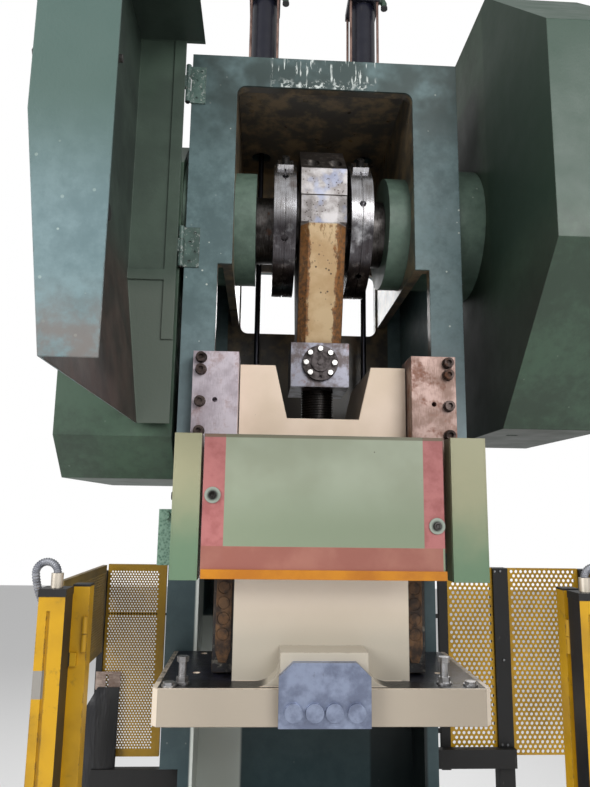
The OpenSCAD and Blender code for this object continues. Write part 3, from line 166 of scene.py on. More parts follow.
def skin(place, colour, rough, height, radius=0.0015, metal=0.0):
    """A finish with its edges rounded by a radius, and a relief of a height in metres."""
    normal = place.bump(height, radius)
    return {"Base Color": colour, "Roughness": rough, "Metallic": metal, "Normal": normal}


def dress(material, *nodes):
    """Gives a material to nodes of the frame or to pieces made here."""
    for node in nodes:
        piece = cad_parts[node] if isinstance(node, str) else node
        piece.data.materials.clear()
        piece.data.materials.append(material)


class Solid:
    """Corners and faces of one piece, gathered from simple solids in metres."""

    def __init__(self):
        self.corners, self.faces = [], []

    def add(self, corners, faces):
        """Joins on corners, and faces that count from the first of them."""
        base = len(self.corners)
        self.corners += corners
        self.faces += [tuple(base + i for i in face) for face in faces]

    def block(self, low, high):
        """A box between two opposite corners."""
        xs, ys, zs = zip(low, high)
        corners = [(x, y, z) for x in xs for y in ys for z in zs]
        ends = [(0, 1, 3, 2), (4, 6, 7, 5)]
        self.add(corners, ends + [(0, 4, 5, 1), (2, 3, 7, 6), (0, 2, 6, 4), (1, 5, 7, 3)])

    def turned(self, profile, centre, sides=48, along_y=False):
        """A closed solid of revolution about Z or Y, from (radius, height) pairs going up or back."""
        corners = []
        for radius, height in profile:
            for i in range(sides):
                angle = math.tau * i / sides
                u, v = radius * math.cos(angle), radius * math.sin(angle)
                if along_y:
                    corners.append((centre[0] + u, height, centre[1] - v))
                else:
                    corners.append((centre[0] + u, centre[1] + v, height))
        faces = [tuple(range(sides))[::-1]]
        for row in range(len(profile) - 1):
            for i in range(sides):
                j = (i + 1) % sides
                faces.append((row * sides + i, row * sides + j, (row + 1) * sides + j, (row + 1) * sides + i))
        top = (len(profile) - 1) * sides
        faces.append(tuple(range(top, top + sides)))
        self.add(corners, faces)

    def swept(self, path, radii, sides):
        """A round bar along a path of points, with a radius at each of them."""
        points = [Vector(point) for point in path]
        side = (points[1] - points[0]).orthogonal().normalized()
        corners = []
        for i, (point, radius) in enumerate(zip(points, radii)):
            ahead = (points[min(i + 1, len(points) - 1)] - points[max(i - 1, 0)]).normalized()
            side = (side - ahead * side.dot(ahead)).normalized()
            other = ahead.cross(side)
            for k in range(sides):
                angle = math.tau * k / sides
                corners.append(tuple(point + (side * math.cos(angle) + other * math.sin(angle)) * radius))
        faces = [tuple(range(sides))[::-1], tuple(range(len(corners) - sides, len(corners)))]
        for i in range(len(points) - 1):
            for k in range(sides):
                a, b = i * sides + k, i * sides + (k + 1) % sides
                faces.append((a, b, b + sides, a + sides))
        self.add(corners, faces)

    def perforated(self, low, high, thick, pitch, row, hole, sides, margin):
        """A sheet in X and Z with staggered round holes inside plain margins. Y is its front."""
        (x0, y, z0), (x1, _, z1) = low, high
        left, right, low_margin, high_margin = margin
        columns = int((x1 - x0 - left - right) / pitch)
        rows = int((z1 - z0 - low_margin - high_margin) / row)
        left = (x0 + left + x1 - right - columns * pitch) / 2
        foot = (z0 + low_margin + z1 - high_margin - rows * row) / 2
        head = foot + rows * row
        angles = [math.tau * i / sides for i in range(sides)]
        for front, turn in ((y, 1), (y + thick, -1)):
            flat = [(x0, x1, z0, foot), (x0, x1, head, z1)]
            for j in range(rows):
                inset = (j % 2) * pitch / 2
                z = foot + j * row
                flat += [(x0, left + inset, z, z + row), (left + columns * pitch - inset, x1, z, z + row)]
            for a, b, c, d in flat:
                self.add([(a, front, c), (b, front, c), (b, front, d), (a, front, d)], [(0, 1, 2, 3)[::turn]])
        for j in range(rows):
            for i in range(columns - j % 2):
                cx = left + (j % 2) * pitch / 2 + (i + 0.5) * pitch
                cz = foot + (j + 0.5) * row
                corners = []
                for front in (y, y + thick):
                    for angle in angles:
                        c, s = math.cos(angle), math.sin(angle)
                        reach = max(abs(c), abs(s))
                        corners.append((cx + c / reach * pitch / 2, front, cz + s / reach * row / 2))
                        corners.append((cx + hole * c, front, cz + hole * s))
                faces = []
                for k in range(sides):
                    a, b = 2 * k, 2 * ((k + 1) % sides)
                    back = 2 * sides
                    faces += [(a, b, b + 1, a + 1), (a + back, a + 1 + back, b + 1 + back, b + back)]
                    faces.append((a + 1, b + 1, b + 1 + back, a + 1 + back))
                self.add(corners, faces)

    def piece(self, name, body, slot, material, *stands_for, move=None):
        """The object with these corners and faces, riding a body, in place of nodes of the frame."""
        mesh = bpy.data.meshes.new(name)
        mesh.from_pydata(self.corners, [], self.faces)
        if move is not None:
            mesh.transform(move)
        built = bpy.data.objects.new(name, mesh)
        bpy.context.scene.collection.objects.link(built)
        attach(built, body)
        if stands_for:
            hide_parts(*stands_for)
        dress(material, built)
        return built


def conduit_look(place):
    tone = place.noise(0.02, 4, 0.6).step(0.35, 0.65).pick(rgb(150, 152, 158), rgb(104, 106, 114))
    rough = place.noise(0.01, 3) * 0.2 + 0.35
    return skin(place, tone, rough, place.noise(0.003, 2) * 0.0001, metal=0.5)


CONDUIT, GROOVE, ARCH = 0.015, 0.0012, 0.020
GLAND_Y, GLAND_TOP = -0.749, 1.476
ENTRY_Y, ENTRY_Z = -0.700, 1.374
ARCH_STEPS, FALL_STEPS = 36, 56
conduit_grey = finish("conduit_grey", conduit_look)
for side, x, post, out in (("left", -0.525, -0.504, -1), ("right", 0.475, 0.479, 1)):
    gland = Vector((x, GLAND_Y, GLAND_TOP))
    entry = Vector((post, ENTRY_Y, ENTRY_Z))
    route = [gland - Vector((0, 0, 0.003)), gland]
    for i in range(1, ARCH_STEPS + 1):
        angle = math.pi * i / ARCH_STEPS
        route.append(gland + Vector((out * ARCH * (1 - math.cos(angle)), 0, ARCH * math.sin(angle))))
    # From the arch it falls behind the curtain and turns into the post's outer face
    pulls = [route[-1], route[-1] + Vector((0, 0.018, -0.051))]
    pulls += [entry + Vector((out * 0.041, 0, 0)), entry - Vector((out * 0.003, 0, 0))]
    for i in range(1, FALL_STEPS + 1):
        t = i / FALL_STEPS
        weights = ((1 - t) ** 3, 3 * t * (1 - t) ** 2, 3 * t * t * (1 - t), t ** 3)
        route.append(sum((pull * weight for pull, weight in zip(pulls, weights)), Vector()))
    hose = Solid()
    hose.swept(route, [CONDUIT / 2 - (i % 2) * GROOVE for i in range(len(route))], 20)
    built = hose.piece("conduit_" + side, "machine", "steel", conduit_grey)
    length = sum((b - a).length for a, b in zip(route, route[1:]))
    path = [tuple(point) for point in route[::3] + route[-1:]]


# Frame: side plates flame-cut from thick steel, with the crown, bed and base plates welded
# between them. It is sprayed teal green, and the crown bay is brown and black with old oil.
def worn_paint(place, light, dark, chip, wear=1.0, peel=0.00012):
    """Old machine paint: mottled, with darker clouds, small chips, and bare steel on the edges."""
    cloud = place.noise(0.22, 5, 0.6)
    fine = place.noise(0.03, 4, 0.65)
    colour = (cloud * 0.6 + fine * 0.4).step(0.38, 0.62).pick(light, dark)
    smear = place.noise(0.05, 4, 0.6, (1, 1, 5)).step(0.56, 0.72) * 0.4
    colour = smear.pick(colour, dark)
    specks = place.cells(0.035).step(0.085, 0.06) * place.noise(0.3, 2).step(0.48, 0.56) * wear
    colour = specks.pick(colour, chip)
    rubbed = place.edges() * 5 * place.noise(0.02, 4, 0.7).step(0.42, 0.62) * wear
    colour = rubbed.step(0.25, 0.6).pick(colour, rgb(62, 66, 62))
    rough = place.noise(0.08, 3) * 0.3 + 0.32
    height = place.noise(0.006, 2) * peel - specks * 0.0003
    return colour, rough, height


# The frame's front face and crown, the bay and the slide's opening on each side of the middle,
# and the crank's axis with the radius of its bosses, in metres
FRONT, CROWN = -0.400, 2.820
BAY_HALF, BAY_TOP, OPENING_HALF = 0.240, 2.732, 0.277
AXLE_Y, AXLE_Z, BOSS_RADIUS = -0.200, 2.400, 0.160
TEAL, TEAL_DARK = rgb(108, 132, 134), rgb(82, 104, 106)
OIL_BLACK, OIL_BROWN = rgb(80, 76, 70), rgb(172, 146, 108)


def frame_look(place):
    x, y, z = (place.part(axis) for axis in range(3))
    colour, rough, height = worn_paint(place, TEAL, TEAL_DARK, rgb(196, 204, 196))
    # Painted shade: the head grows darker towards its top, and the shaded part below the guard is
    # darker, nearly black on the right of the front. Painted light lightens the front from 1.5 to 2.2 m.
    shade = z.step(2.45, 2.72)
    colour = (shade * place.noise(0.1, 3).step(0.15, 0.6)).pick(colour, rgb(50, 66, 64))
    below = z.step(1.52, 1.46)
    colour = (below * 0.8).pick(colour, rgb(42, 60, 66))
    shaded_right_face = x.step(0.2, 0.27) * y.step(FRONT + 0.010, FRONT + 0.002)
    colour = (below * shaded_right_face * 0.7).pick(colour, rgb(14, 24, 22))
    colour = (z.step(2.2, 1.8) * z.step(1.5, 1.6) * 0.5).pick(colour, rgb(134, 150, 156))
    # Beside the slide the left wall is white, and the right one is nearly black with painted shade
    beside = z.step(1.5, 1.46) * y.step(FRONT + 0.002, FRONT + 0.005) * y.step(0.14, 0.09)
    beside = beside * abs(x).step(0.19, 0.20) * abs(x).step(0.335, 0.328)
    colour = (beside * x.step(0.05, -0.05)).pick(colour, rgb(220, 226, 220))
    colour = (beside * x.step(-0.05, 0.05) * 0.9).pick(colour, rgb(10, 18, 18))
    # White paint that ran down the beam over the bay
    runs = place.noise(0.02, 4, 0.7, (0.55, 1, 5)).step(0.55, 0.6)
    foot = place.noise(0.012, 3, 0.7).step(0.5, 0.58) * z.step(BAY_TOP + 0.033, BAY_TOP + 0.006)
    over = z.step(BAY_TOP - 0.001, BAY_TOP + 0.003) * y.step(FRONT + 0.004, FRONT + 0.001)
    over = over * abs(x + 0.005).step(0.15, 0.135)
    white = (runs | foot) * over * place.noise(0.05, 2).step(0.4, 0.52)
    colour = white.pick(colour, rgb(205, 212, 208))
    # Oil on the walls inside the bay
    inside = y.step(FRONT + 0.0015, FRONT + 0.010) * y.step(0.205, 0.200)
    inside = inside * abs(x).step(OPENING_HALF + 0.0025, OPENING_HALF)
    inside = inside * z.step(1.5, 1.56) * z.step(CROWN - 0.020, CROWN - 0.025)
    off_boss = place.away((0, AXLE_Y, AXLE_Z), (0, 1, 1)).step(BOSS_RADIUS + 0.0005, BOSS_RADIUS + 0.003)
    inside = inside * (off_boss | (1 - abs(x).step(BAY_HALF + 0.0005, BAY_HALF - 0.0005)))
    oily = (place.noise(0.12, 5, 0.65) * 0.7 + z.step(2.2, 2.75) * 0.25).step(0.4, 0.7)
    back = y.step(0.15, 0.19) * z.step(2.42, 2.5)
    walls = place.noise(0.06, 5, 0.6).step(0.4, 0.65) * 0.6 * z.step(1.9, 2.3)
    colour = inside.pick(colour, (oily * back | walls).pick(OIL_BLACK, OIL_BROWN))
    rough = rough * (1 - inside * 0.35)
    return skin(place, colour, rough, height)


dress(
    finish("frame_green", frame_look),
    "side_plates", "front_plates", "rear_plates", "level_plates", "inner_walls", "guide_housings",
)


def painted(name, light, dark, chip, *wear):
    """A finish of old machine paint and nothing more."""
    return finish(name, lambda place: skin(place, *worn_paint(place, light, dark, chip, *wear)))


boss_green = painted("boss_green", rgb(102, 124, 110), rgb(78, 98, 86), rgb(170, 178, 168), 0.6)
dress(boss_green, "bearing_bosses")


# Bolster: a ground steel plate with three T-slots that carries the lower tool. It lies on
# the bed, held by four countersunk bolts.
def ground_steel(place, light, dark, rust=0.3, rub=0.25, grain=(12, 1, 1)):
    """Machined steel with fine tool marks, dull stains and spots of rust."""
    lines = place.noise(0.0016, 2, 0.5, grain)
    stain = place.noise(0.07, 5, 0.65)
    colour = (lines * 0.3 + stain * 0.7).step(0.4, 0.62).pick(light, dark)
    browned = (place.noise(0.045, 6, 0.7) * 0.75 + stain * 0.25).step(0.66 - rust * 0.3, 0.76 - rust * 0.2)
    colour = browned.pick(colour, rgb(104, 66, 44))
    rough = stain * 0.35 + lines * 0.1 + rub + browned * 0.25
    height = lines * 0.00004 - browned * place.noise(0.003, 3) * 0.0002
    return skin(place, colour, rough, height, 0.001, metal=1 - browned * 0.8)


def steel(name, light, dark, *wear):
    """A finish of machined steel in two tones."""
    return finish(name, lambda place: ground_steel(place, light, dark, *wear))


MILD, MILD_DARK = rgb(150, 152, 154), rgb(96, 98, 100)
dark_steel = steel("blued_steel", rgb(92, 90, 88), rgb(46, 44, 42), 0.25, 0.3)
dress(steel("bolster_steel", MILD, MILD_DARK, 0.35), "bolster_plate")
dress(dark_steel, "bolster_bolts")


# Gib plates: thick steel plates screwed to the frame's front that guide the slide.
# They are bare, lilac grey, with copper-brown rust that has bloomed over them.
def gib_look(place):
    stain = place.noise(0.09, 6, 0.62)
    grain = place.noise(0.0015, 2, 0.5, (1, 1, 14))
    x = place.part(0)
    tone = (stain * 0.8 + grain * 0.2).step(0.42, 0.6)
    left = tone.pick(rgb(214, 204, 212), rgb(176, 164, 172))
    right = tone.pick(rgb(164, 140, 132), rgb(122, 98, 88))
    colour = x.step(-0.1, 0.1).pick(left, right)
    bloom = (place.noise(0.05, 6, 0.68) + place.noise(0.006, 3, 0.6) * 0.25).step(0.62, 0.82)
    low = place.part(2).step(1.78, 1.66) * place.noise(0.03, 5, 0.7).step(0.42, 0.62)
    bloom = bloom | (low * 0.85)
    colour = (bloom * (x.step(-0.1, 0.1) * 0.3 + 0.5)).pick(colour, rgb(138, 88, 66))
    pale = place.cells(0.02).step(0.09, 0.05) * low
    colour = pale.pick(colour, rgb(200, 190, 182))
    rough = stain * 0.3 + 0.24 + bloom * 0.3
    height = grain * 0.00003 - bloom * place.noise(0.004, 3) * 0.00025
    return skin(place, colour, rough, height, metal=0.55 - bloom * 0.4)


dress(finish("gib_steel", gib_look), "gib_plates")
dress(steel("oiled_screws", rgb(96, 84, 80), rgb(44, 38, 36), 0.45, 0.3), "gib_screws")


# Bearing bushes: turned bronze. Two are pressed into the frame's bosses for the shaft, and
# one into the rod's big end.
dress(steel("bronze", rgb(176, 140, 88), rgb(118, 88, 50), 0.15), "main_bearings", "big_end_bush")


# Wheel and brake guards: folded and welded sheet on the frame's sides, sprayed mid green
# with orange peel. They cover the flywheel on the right and the brake on the left.
WHEEL_GUARD_SIDE, WHEEL_GUARD_FLOOR = 0.438, AXLE_Z - 0.600


def guard_look(place):
    green, dark_green, chip = rgb(58, 82, 64), rgb(44, 62, 48), rgb(118, 132, 120)
    colour, rough, height = worn_paint(place, green, dark_green, chip, 0.35, 0.0002)
    x, y, z = (place.part(axis) for axis in range(3))
    # Painted shade: the guards' faces in front of the frame are darker green above 2.2 m
    colour = (z.step(2.15, 2.28) * y.step(FRONT, FRONT - 0.02)).pick(colour, rgb(28, 58, 42))
    # Painted shade: the wheel guard is darker towards the frame and underneath
    wheel_guard = x.step(0.0, 0.1)
    inward = x.step(WHEEL_GUARD_SIDE + 0.0015, WHEEL_GUARD_SIDE + 0.0005) * wheel_guard
    rough = rough + inward * 0.25
    colour = (inward * (z.step(2.2, 2.0) * 0.35 + 0.5)).pick(colour, rgb(18, 24, 14))
    under = z.step(WHEEL_GUARD_FLOOR + 0.0015, WHEEL_GUARD_FLOOR + 0.0005) * wheel_guard
    colour = (under * 0.7).pick(colour, rgb(26, 42, 30))
    return skin(place, colour, rough * 0.9, height, 0.003)


guard_green = finish("guard_green", guard_look)
dress(guard_green, "flywheel_guard", "flywheel_guard_cover", "brake_guard")


# Drive: a cast flywheel that black rubber belts turn from a finned motor, and a cast clutch
# and brake drum on the crankshaft, with a steel brake band.
def cast_look(place):
    rough = place.noise(0.05, 4) * 0.3 + 0.45
    colour = place.noise(0.12, 5, 0.6).step(0.4, 0.6).pick(rgb(104, 112, 108), rgb(64, 68, 66))
    return skin(place, colour, rough, place.noise(0.004, 4) * 0.0004, metal=0.4)


def rubber_look(place):
    colour = place.noise(0.02, 4).pick(rgb(30, 30, 30), rgb(52, 50, 48))
    return skin(place, colour, place.noise(0.01, 2) * 0.2 + 0.7, place.noise(0.002, 2) * 0.0001)


cast_iron = finish("cast_iron", cast_look)
dress(cast_iron, "flywheel", "motor_pulley", "clutch", "brake_drum")
dress(finish("rubber", rubber_look), "drive_belts")
motor_green = painted("motor_green", rgb(84, 118, 108), rgb(62, 88, 80), rgb(150, 160, 150), 0.5)
dress(motor_green, "motor", "motor_bracket")
dress(dark_steel, "brake_band")


# Counterbalance: two air cylinders on the crown in blue-black enamel, with brown oily tie
# rods and green elbows. Their rods reach down through the crown to the slide.
def enamel_look(place):
    colour = place.noise(0.06, 4, 0.6, (1, 1, 4)).pick(rgb(10, 11, 22), rgb(24, 25, 40))
    dust = place.noise(0.02, 5, 0.7, (1, 1, 6)).step(0.6, 0.75) * 0.4
    colour = dust.pick(colour, rgb(96, 90, 84))
    return skin(place, colour, place.noise(0.04, 3) * 0.25 + 0.2, place.noise(0.01, 2) * 0.0001)


def elbow_look(place):
    colour, rough, height = worn_paint(place, rgb(66, 92, 74), rgb(44, 64, 52), rgb(140, 140, 130), 0.8)
    colour = place.part(2).step(CAP_LOW - 0.008, CAP_LOW - 0.009).pick(colour, rgb(24, 26, 26))
    return skin(place, colour, rough, height)


def rod_look(place):
    wipe = place.noise(0.1, 4, 0.6, (1, 1, 3))
    colour = wipe.pick(rgb(30, 30, 36), rgb(74, 74, 82))
    return skin(place, colour, wipe * 0.25 + 0.16, place.noise(0.003, 2) * 0.00003, metal=0.9)


CYLINDER_X, CYLINDER_Y, CYLINDER_RADIUS, PLATE_HALF = 0.176, 0.080, 0.045, 0.055
TIE_REACH, TIE_RADIUS = 0.047, 0.0045
FOOT_TOP, CAP_LOW, CAP_TOP = CROWN + 0.022, CROWN + 0.562, CROWN + 0.588
# A street elbow out of the cap's right side, its open end turned down: across, up and radius
ELBOW = (
    (0.050, 0, 0.010), (0.062, 0, 0.010), (0.070, -0.003, 0.011), (0.073, -0.010, 0.011),
    (0.074, -0.022, 0.010), (0.074, -0.023, 0.012), (0.074, -0.030, 0.012),
)
ELBOW_Y, ELBOW_Z = 0.045, CAP_LOW + 0.013

tubes, ties, elbows = Solid(), Solid(), Solid()
for x in (-CYLINDER_X, CYLINDER_X):
    near, far = CYLINDER_Y - PLATE_HALF, CYLINDER_Y + PLATE_HALF
    for low, high in ((CROWN, FOOT_TOP), (CAP_LOW, CAP_TOP)):
        tubes.block((x - PLATE_HALF, near, low), (x + PLATE_HALF, far, high))
    tubes.turned([(CYLINDER_RADIUS, FOOT_TOP), (CYLINDER_RADIUS, CAP_LOW)], (x, CYLINDER_Y), 64)
    for dx in (-TIE_REACH, TIE_REACH):
        for dy in (-TIE_REACH, TIE_REACH):
            ties.turned([(TIE_RADIUS, FOOT_TOP), (TIE_RADIUS, CAP_LOW)], (x + dx, CYLINDER_Y + dy), 20)
    bend = [(x + across, ELBOW_Y, ELBOW_Z + rise) for across, rise, _ in ELBOW]
    elbows.swept(bend, [radius for _, _, radius in ELBOW], 24)
enamel = finish("blue_black_enamel", enamel_look)
tubes.piece("balance_tubes", "machine", "cylinder", enamel, "balance_cylinders")
tie_steel = steel("tie_rod_steel", rgb(156, 130, 120), rgb(104, 84, 78), 0.25, 0.3, (1, 1, 12))
ties.piece("tie_bars", "machine", "tie_rod", tie_steel, "cylinder_tie_rods")
elbows.piece("cap_elbows", "machine", "frame_green", finish("elbow_green", elbow_look), "cylinder_elbows")
dress(finish("oiled_rods", rod_look), "counterbalance_rods")


# Front guard: a pale green sheet with dusty red warning stripes along both ends and the
# bottom, an orange edge strip, two bolts on big washers, and folded channels at the ends.

# The sheet's thickness, the blur of a painted edge, and the gap between two faces that meet
FOLD, BLUR, GAP = 0.004, 0.0006, 0.0002
# The panel's edges, the inner edges of its red ends, and the top and right end of its red foot
PANEL_FRONT, PANEL_LOW, PANEL_TOP, PANEL_LEFT, PANEL_RIGHT = -0.515, 1.4445, 1.767, -0.2835, 0.2690
RED_LEFT, RED_RIGHT, RED_TOP, RED_END = -0.2340, 0.2217, 1.5150, 0.2640
CHANNELS = ((-0.3515, -0.2895), (0.2875, 0.3700))
CHANNEL_LOW, CHANNEL_TOP, WEB_BACK = 1.440, PANEL_TOP + 0.001, -0.460
GUARD_BOLTS = ((-0.2610, 1.6275), (0.2516, 1.5646))
# Radius and distance in front of the panel, from the front to the back
WASHER = ((0.0180, 0.0032), (0.0185, 0.0026), (0.0185, GAP))
HEAD = ((0.0035, 0.0082), (0.0060, 0.0105), (0.0085, 0.0100), (0.0092, 0.0033))


def panel_look(place):
    x, z = place.part(0), place.part(2)
    cloud = place.noise(0.3, 4)
    green = cloud.step(0.38, 0.64).pick(rgb(158, 166, 146), rgb(142, 149, 128))
    red = place.noise(0.05, 5, 0.65).step(0.4, 0.66).pick(rgb(172, 106, 104), rgb(152, 86, 84))
    faded = place.noise(0.1, 4).step(0.35, 0.6).pick(rgb(158, 104, 90), rgb(146, 90, 78))
    # Painted shade: the green darkens towards the panel's foot
    green = (z.step(1.70, 1.54) * 0.9).pick(green, rgb(126, 138, 114))
    ends = x.step(RED_RIGHT, RED_RIGHT + BLUR) | x.step(RED_LEFT, RED_LEFT - BLUR)
    foot = z.step(RED_TOP, RED_TOP - BLUR) * x.step(RED_END + BLUR, RED_END)
    ends = ends * (1 - x.step(RED_END, RED_END + BLUR) * z.step(RED_TOP, RED_TOP - BLUR))
    colour = foot.pick(ends.pick(green, red), faded)
    # Painted shadow: a dark olive line under the lip along the top
    lip_shadow = z.step(PANEL_TOP - 0.0085, PANEL_TOP - 0.007)
    colour = (lip_shadow * 0.8).pick(colour, rgb(92, 88, 66))
    dirt = place.cells(0.05).step(0.04, 0.025) * place.noise(0.2, 2).step(0.5, 0.56)
    rim = place.edges(0.003).step(0.03, 0.12) * place.noise(0.02, 4).step(0.4, 0.6)
    colour = (dirt | (rim * 0.7)).pick(colour, rgb(70, 62, 52))
    rough = cloud * 0.2 + 0.3 + ends * 0.1
    film = (ends | foot) * 0.0002
    return skin(place, colour, rough, film + place.noise(0.005, 2) * 0.00008)


def channel_look(place):
    z = place.part(2)
    # Painted reflection: the channels turn from green at the foot to pale yellow towards the top
    tone = (z.step(1.45, 1.72) * 0.6 + place.noise(0.16, 4) * 0.5).step(0.25, 0.85)
    colour = tone.pick(rgb(98, 124, 98), rgb(152, 150, 120))
    # Painted shade: the webs and returns behind the face are darker
    shaded_inner = place.part(1).step(PANEL_FRONT + 0.006, PANEL_FRONT + 0.015)
    colour = (shaded_inner * 0.7).pick(colour, rgb(70, 74, 56))
    rim = place.edges(0.003).step(0.03, 0.12) * place.noise(0.02, 4).step(0.45, 0.6)
    colour = (rim * 0.6).pick(colour, rgb(84, 80, 60))
    return skin(place, colour, place.noise(0.1, 4) * 0.2 + 0.3, place.noise(0.005, 2) * 0.00008)


def orange_look(place):
    tone = place.noise(0.08, 4).step(0.35, 0.65).pick(rgb(190, 122, 8), rgb(170, 102, 4))
    return skin(place, tone, place.noise(0.04, 3) * 0.2 + 0.35, place.noise(0.004, 2) * 0.00006)


def wide_washer_look(place):
    """Grime lies on the washers beside the heads."""
    left, right = (place.away((x, 0, z), (1, 0, 1)) for x, z in GUARD_BOLTS)
    near = left.math("MINIMUM", left, right).step(0.0150, 0.0085)
    tone = place.noise(0.01, 4, 0.6).pick(rgb(168, 176, 164), rgb(132, 142, 132))
    colour = (near * 0.8).pick(tone, rgb(40, 42, 42))
    return {"Base Color": colour, "Metallic": 0.4, "Roughness": place.noise(0.01, 3) * 0.3 + 0.3}


panel = Solid()
panel.block((PANEL_LEFT, PANEL_FRONT, PANEL_LOW), (PANEL_RIGHT, PANEL_FRONT + FOLD, PANEL_TOP))
lip_low = (PANEL_LEFT, PANEL_FRONT + FOLD, PANEL_TOP - FOLD)
panel.block(lip_low, (PANEL_RIGHT, PANEL_FRONT + 0.025, PANEL_TOP))
panel_green = finish("panel_green", panel_look)
panel.piece("guard_sheet", "machine", "pale_green", panel_green, "front_guard_panel")

channels = Solid()
for x0, x1 in CHANNELS:
    # Face, the web beside the panel and the return along the frame
    channels.block((x0, PANEL_FRONT, CHANNEL_LOW), (x1, PANEL_FRONT + FOLD, CHANNEL_TOP))
    web, edge, inward = (x1, x0, -FOLD) if x0 < 0 else (x0, x1, FOLD)
    for x, back, step in ((web, WEB_BACK, inward), (edge, FRONT, -inward)):
        low, high = sorted((x, x + step))
        corner = (low, PANEL_FRONT + GAP, CHANNEL_LOW + GAP)
        channels.block(corner, (high, back, CHANNEL_TOP - GAP))
channel_green = finish("channel_green", channel_look)
channels.piece("folded_channels", "machine", "pale_green", channel_green, "guard_channels")

strip = Solid()
strip_low = (PANEL_LEFT + 0.002, PANEL_FRONT - 0.006, PANEL_LOW - 0.0005)
strip.block(strip_low, (PANEL_RIGHT + 0.0025, PANEL_FRONT - GAP, PANEL_LOW + 0.020))
orange = finish("orange_strip", orange_look)
strip.piece("orange_edge", "machine", "orange", orange, "guard_lower_strip")

side_bolts = Solid()
face = CHANNELS[0][0]
for z, radius, out in ((1.662, 0.005, 0.004), (1.625, 0.011, 0.010)):
    ends = [(x, -0.450, z) for x in (face + GAP, face - out * 0.8, face - out)]
    side_bolts.swept(ends, (radius, radius, radius * 0.8), 20)
side_bolts.piece("channel_side_bolts", "machine", "dark_steel", dark_steel)

washers, heads = Solid(), Solid()
for centre in GUARD_BOLTS:
    washers.turned([(radius, PANEL_FRONT - out) for radius, out in WASHER], centre, 48, True)
    heads.turned([(radius, PANEL_FRONT - out) for radius, out in HEAD], centre, 24, True)
washer_steel = finish("washer_steel", wide_washer_look)
washers.piece("guard_washers", "machine", "dark_steel", washer_steel, "guard_bolts")
heads.piece("guard_bolt_heads", "machine", "dark_steel", dark_steel)


# Side guards: yellow perforated sheet in folded frames between black box columns. Yellow
# posts in front of them carry light curtains with black ends and bright glands.
CURTAIN_BACK, CURTAIN_LOW, CURTAIN_TOP = -0.725, 0.860, 1.436
POST_CAP, GLAND_FOOT = 1.448, 1.4505


def yellow_look(place):
    cloud = place.noise(0.12, 4)
    colour = cloud.step(0.35, 0.65).pick(rgb(192, 146, 12), rgb(168, 126, 8))
    grime = place.noise(0.03, 5, 0.7).step(0.58, 0.72) * 0.5
    colour = grime.pick(colour, rgb(110, 92, 34))
    rim = place.edges(0.003).step(0.05, 0.2) * place.noise(0.015, 4).step(0.5, 0.62)
    colour = rim.pick(colour, rgb(70, 64, 50))
    return skin(place, colour, cloud * 0.25 + 0.32, place.noise(0.004, 2) * 0.00008)


def black_look(place):
    cloud = place.noise(0.1, 4)
    colour = cloud.pick(rgb(7, 7, 8), rgb(18, 17, 17))
    scuff = place.noise(0.02, 5, 0.7, (1, 1, 3)).step(0.62, 0.72) * 0.5
    colour = scuff.pick(colour, rgb(92, 88, 84))
    return skin(place, colour, cloud * 0.25 + 0.5, place.noise(0.004, 2) * 0.0001)


def post_look(place):
    """The curtains' black ends and inner sides, their bright glands, and the posts' black caps."""
    x, y, z = (place.part(axis) for axis in range(3))
    look = yellow_look(place)
    curtain = y.step(CURTAIN_BACK + 0.0015, CURTAIN_BACK + 0.0005)
    left_side = x.step(-0.5014, -0.5010) * x.step(-0.4990, -0.4995)
    right_side = x.step(0.4514, 0.4510) * x.step(0.4490, 0.4495)
    top = z.step(CURTAIN_TOP - 0.0005, CURTAIN_TOP + 0.0005)
    foot = z.step(CURTAIN_LOW + 0.0005, CURTAIN_LOW - 0.0005)
    cap = z.step(POST_CAP - 0.0005, POST_CAP + 0.0005)
    dark = curtain * (left_side | right_side | top | foot) | cap
    colour = dark.pick(look["Base Color"], rgb(24, 23, 25))
    plate = curtain * x.step(-0.5300, -0.5310) * z.step(1.2615, 1.2620) * z.step(1.3095, 1.3090)
    colour = plate.pick(colour, rgb(140, 136, 130))
    gland = curtain * z.step(GLAND_FOOT - 0.0002, GLAND_FOOT + 0.0002)
    look["Base Color"] = gland.pick(colour, rgb(226, 216, 200))
    look["Metallic"] = gland * 0.9
    return look


def screen_look(place):
    look = yellow_look(place)
    shade = place.part(0).step(0.1, -0.1) * 0.5 + 0.12
    look["Base Color"] = shade.pick(look["Base Color"], rgb(118, 92, 6))
    return look


def shaded_gate_look(place):
    look = yellow_look(place)
    # Painted shade: the gates' yellow is darker and browner
    look["Base Color"] = place.noise(0.1, 3).step(0.3, 0.7).pick(rgb(126, 102, 44), rgb(100, 80, 34))
    return look


yellow = finish("guard_yellow", yellow_look)
screen_yellow, gate_shaded_yellow = finish("screen_yellow", screen_look), finish("gate_shaded_yellow", shaded_gate_look)
black = finish("black_paint", black_look)
dress(finish("post_yellow", post_look), "front_posts", "light_curtains")
dress(black, "corner_columns")

SCREEN_LOW, SCREEN_TOP, SCREEN_FRONT, SHEET = 0.893, 1.428, 0.030, 0.002
# Pitch, row height, hole radius and the sides of a hole
FINE, COARSE = (0.0082, 0.0071, 0.0026, 8), (0.01485, 0.01286, 0.0047, 16)

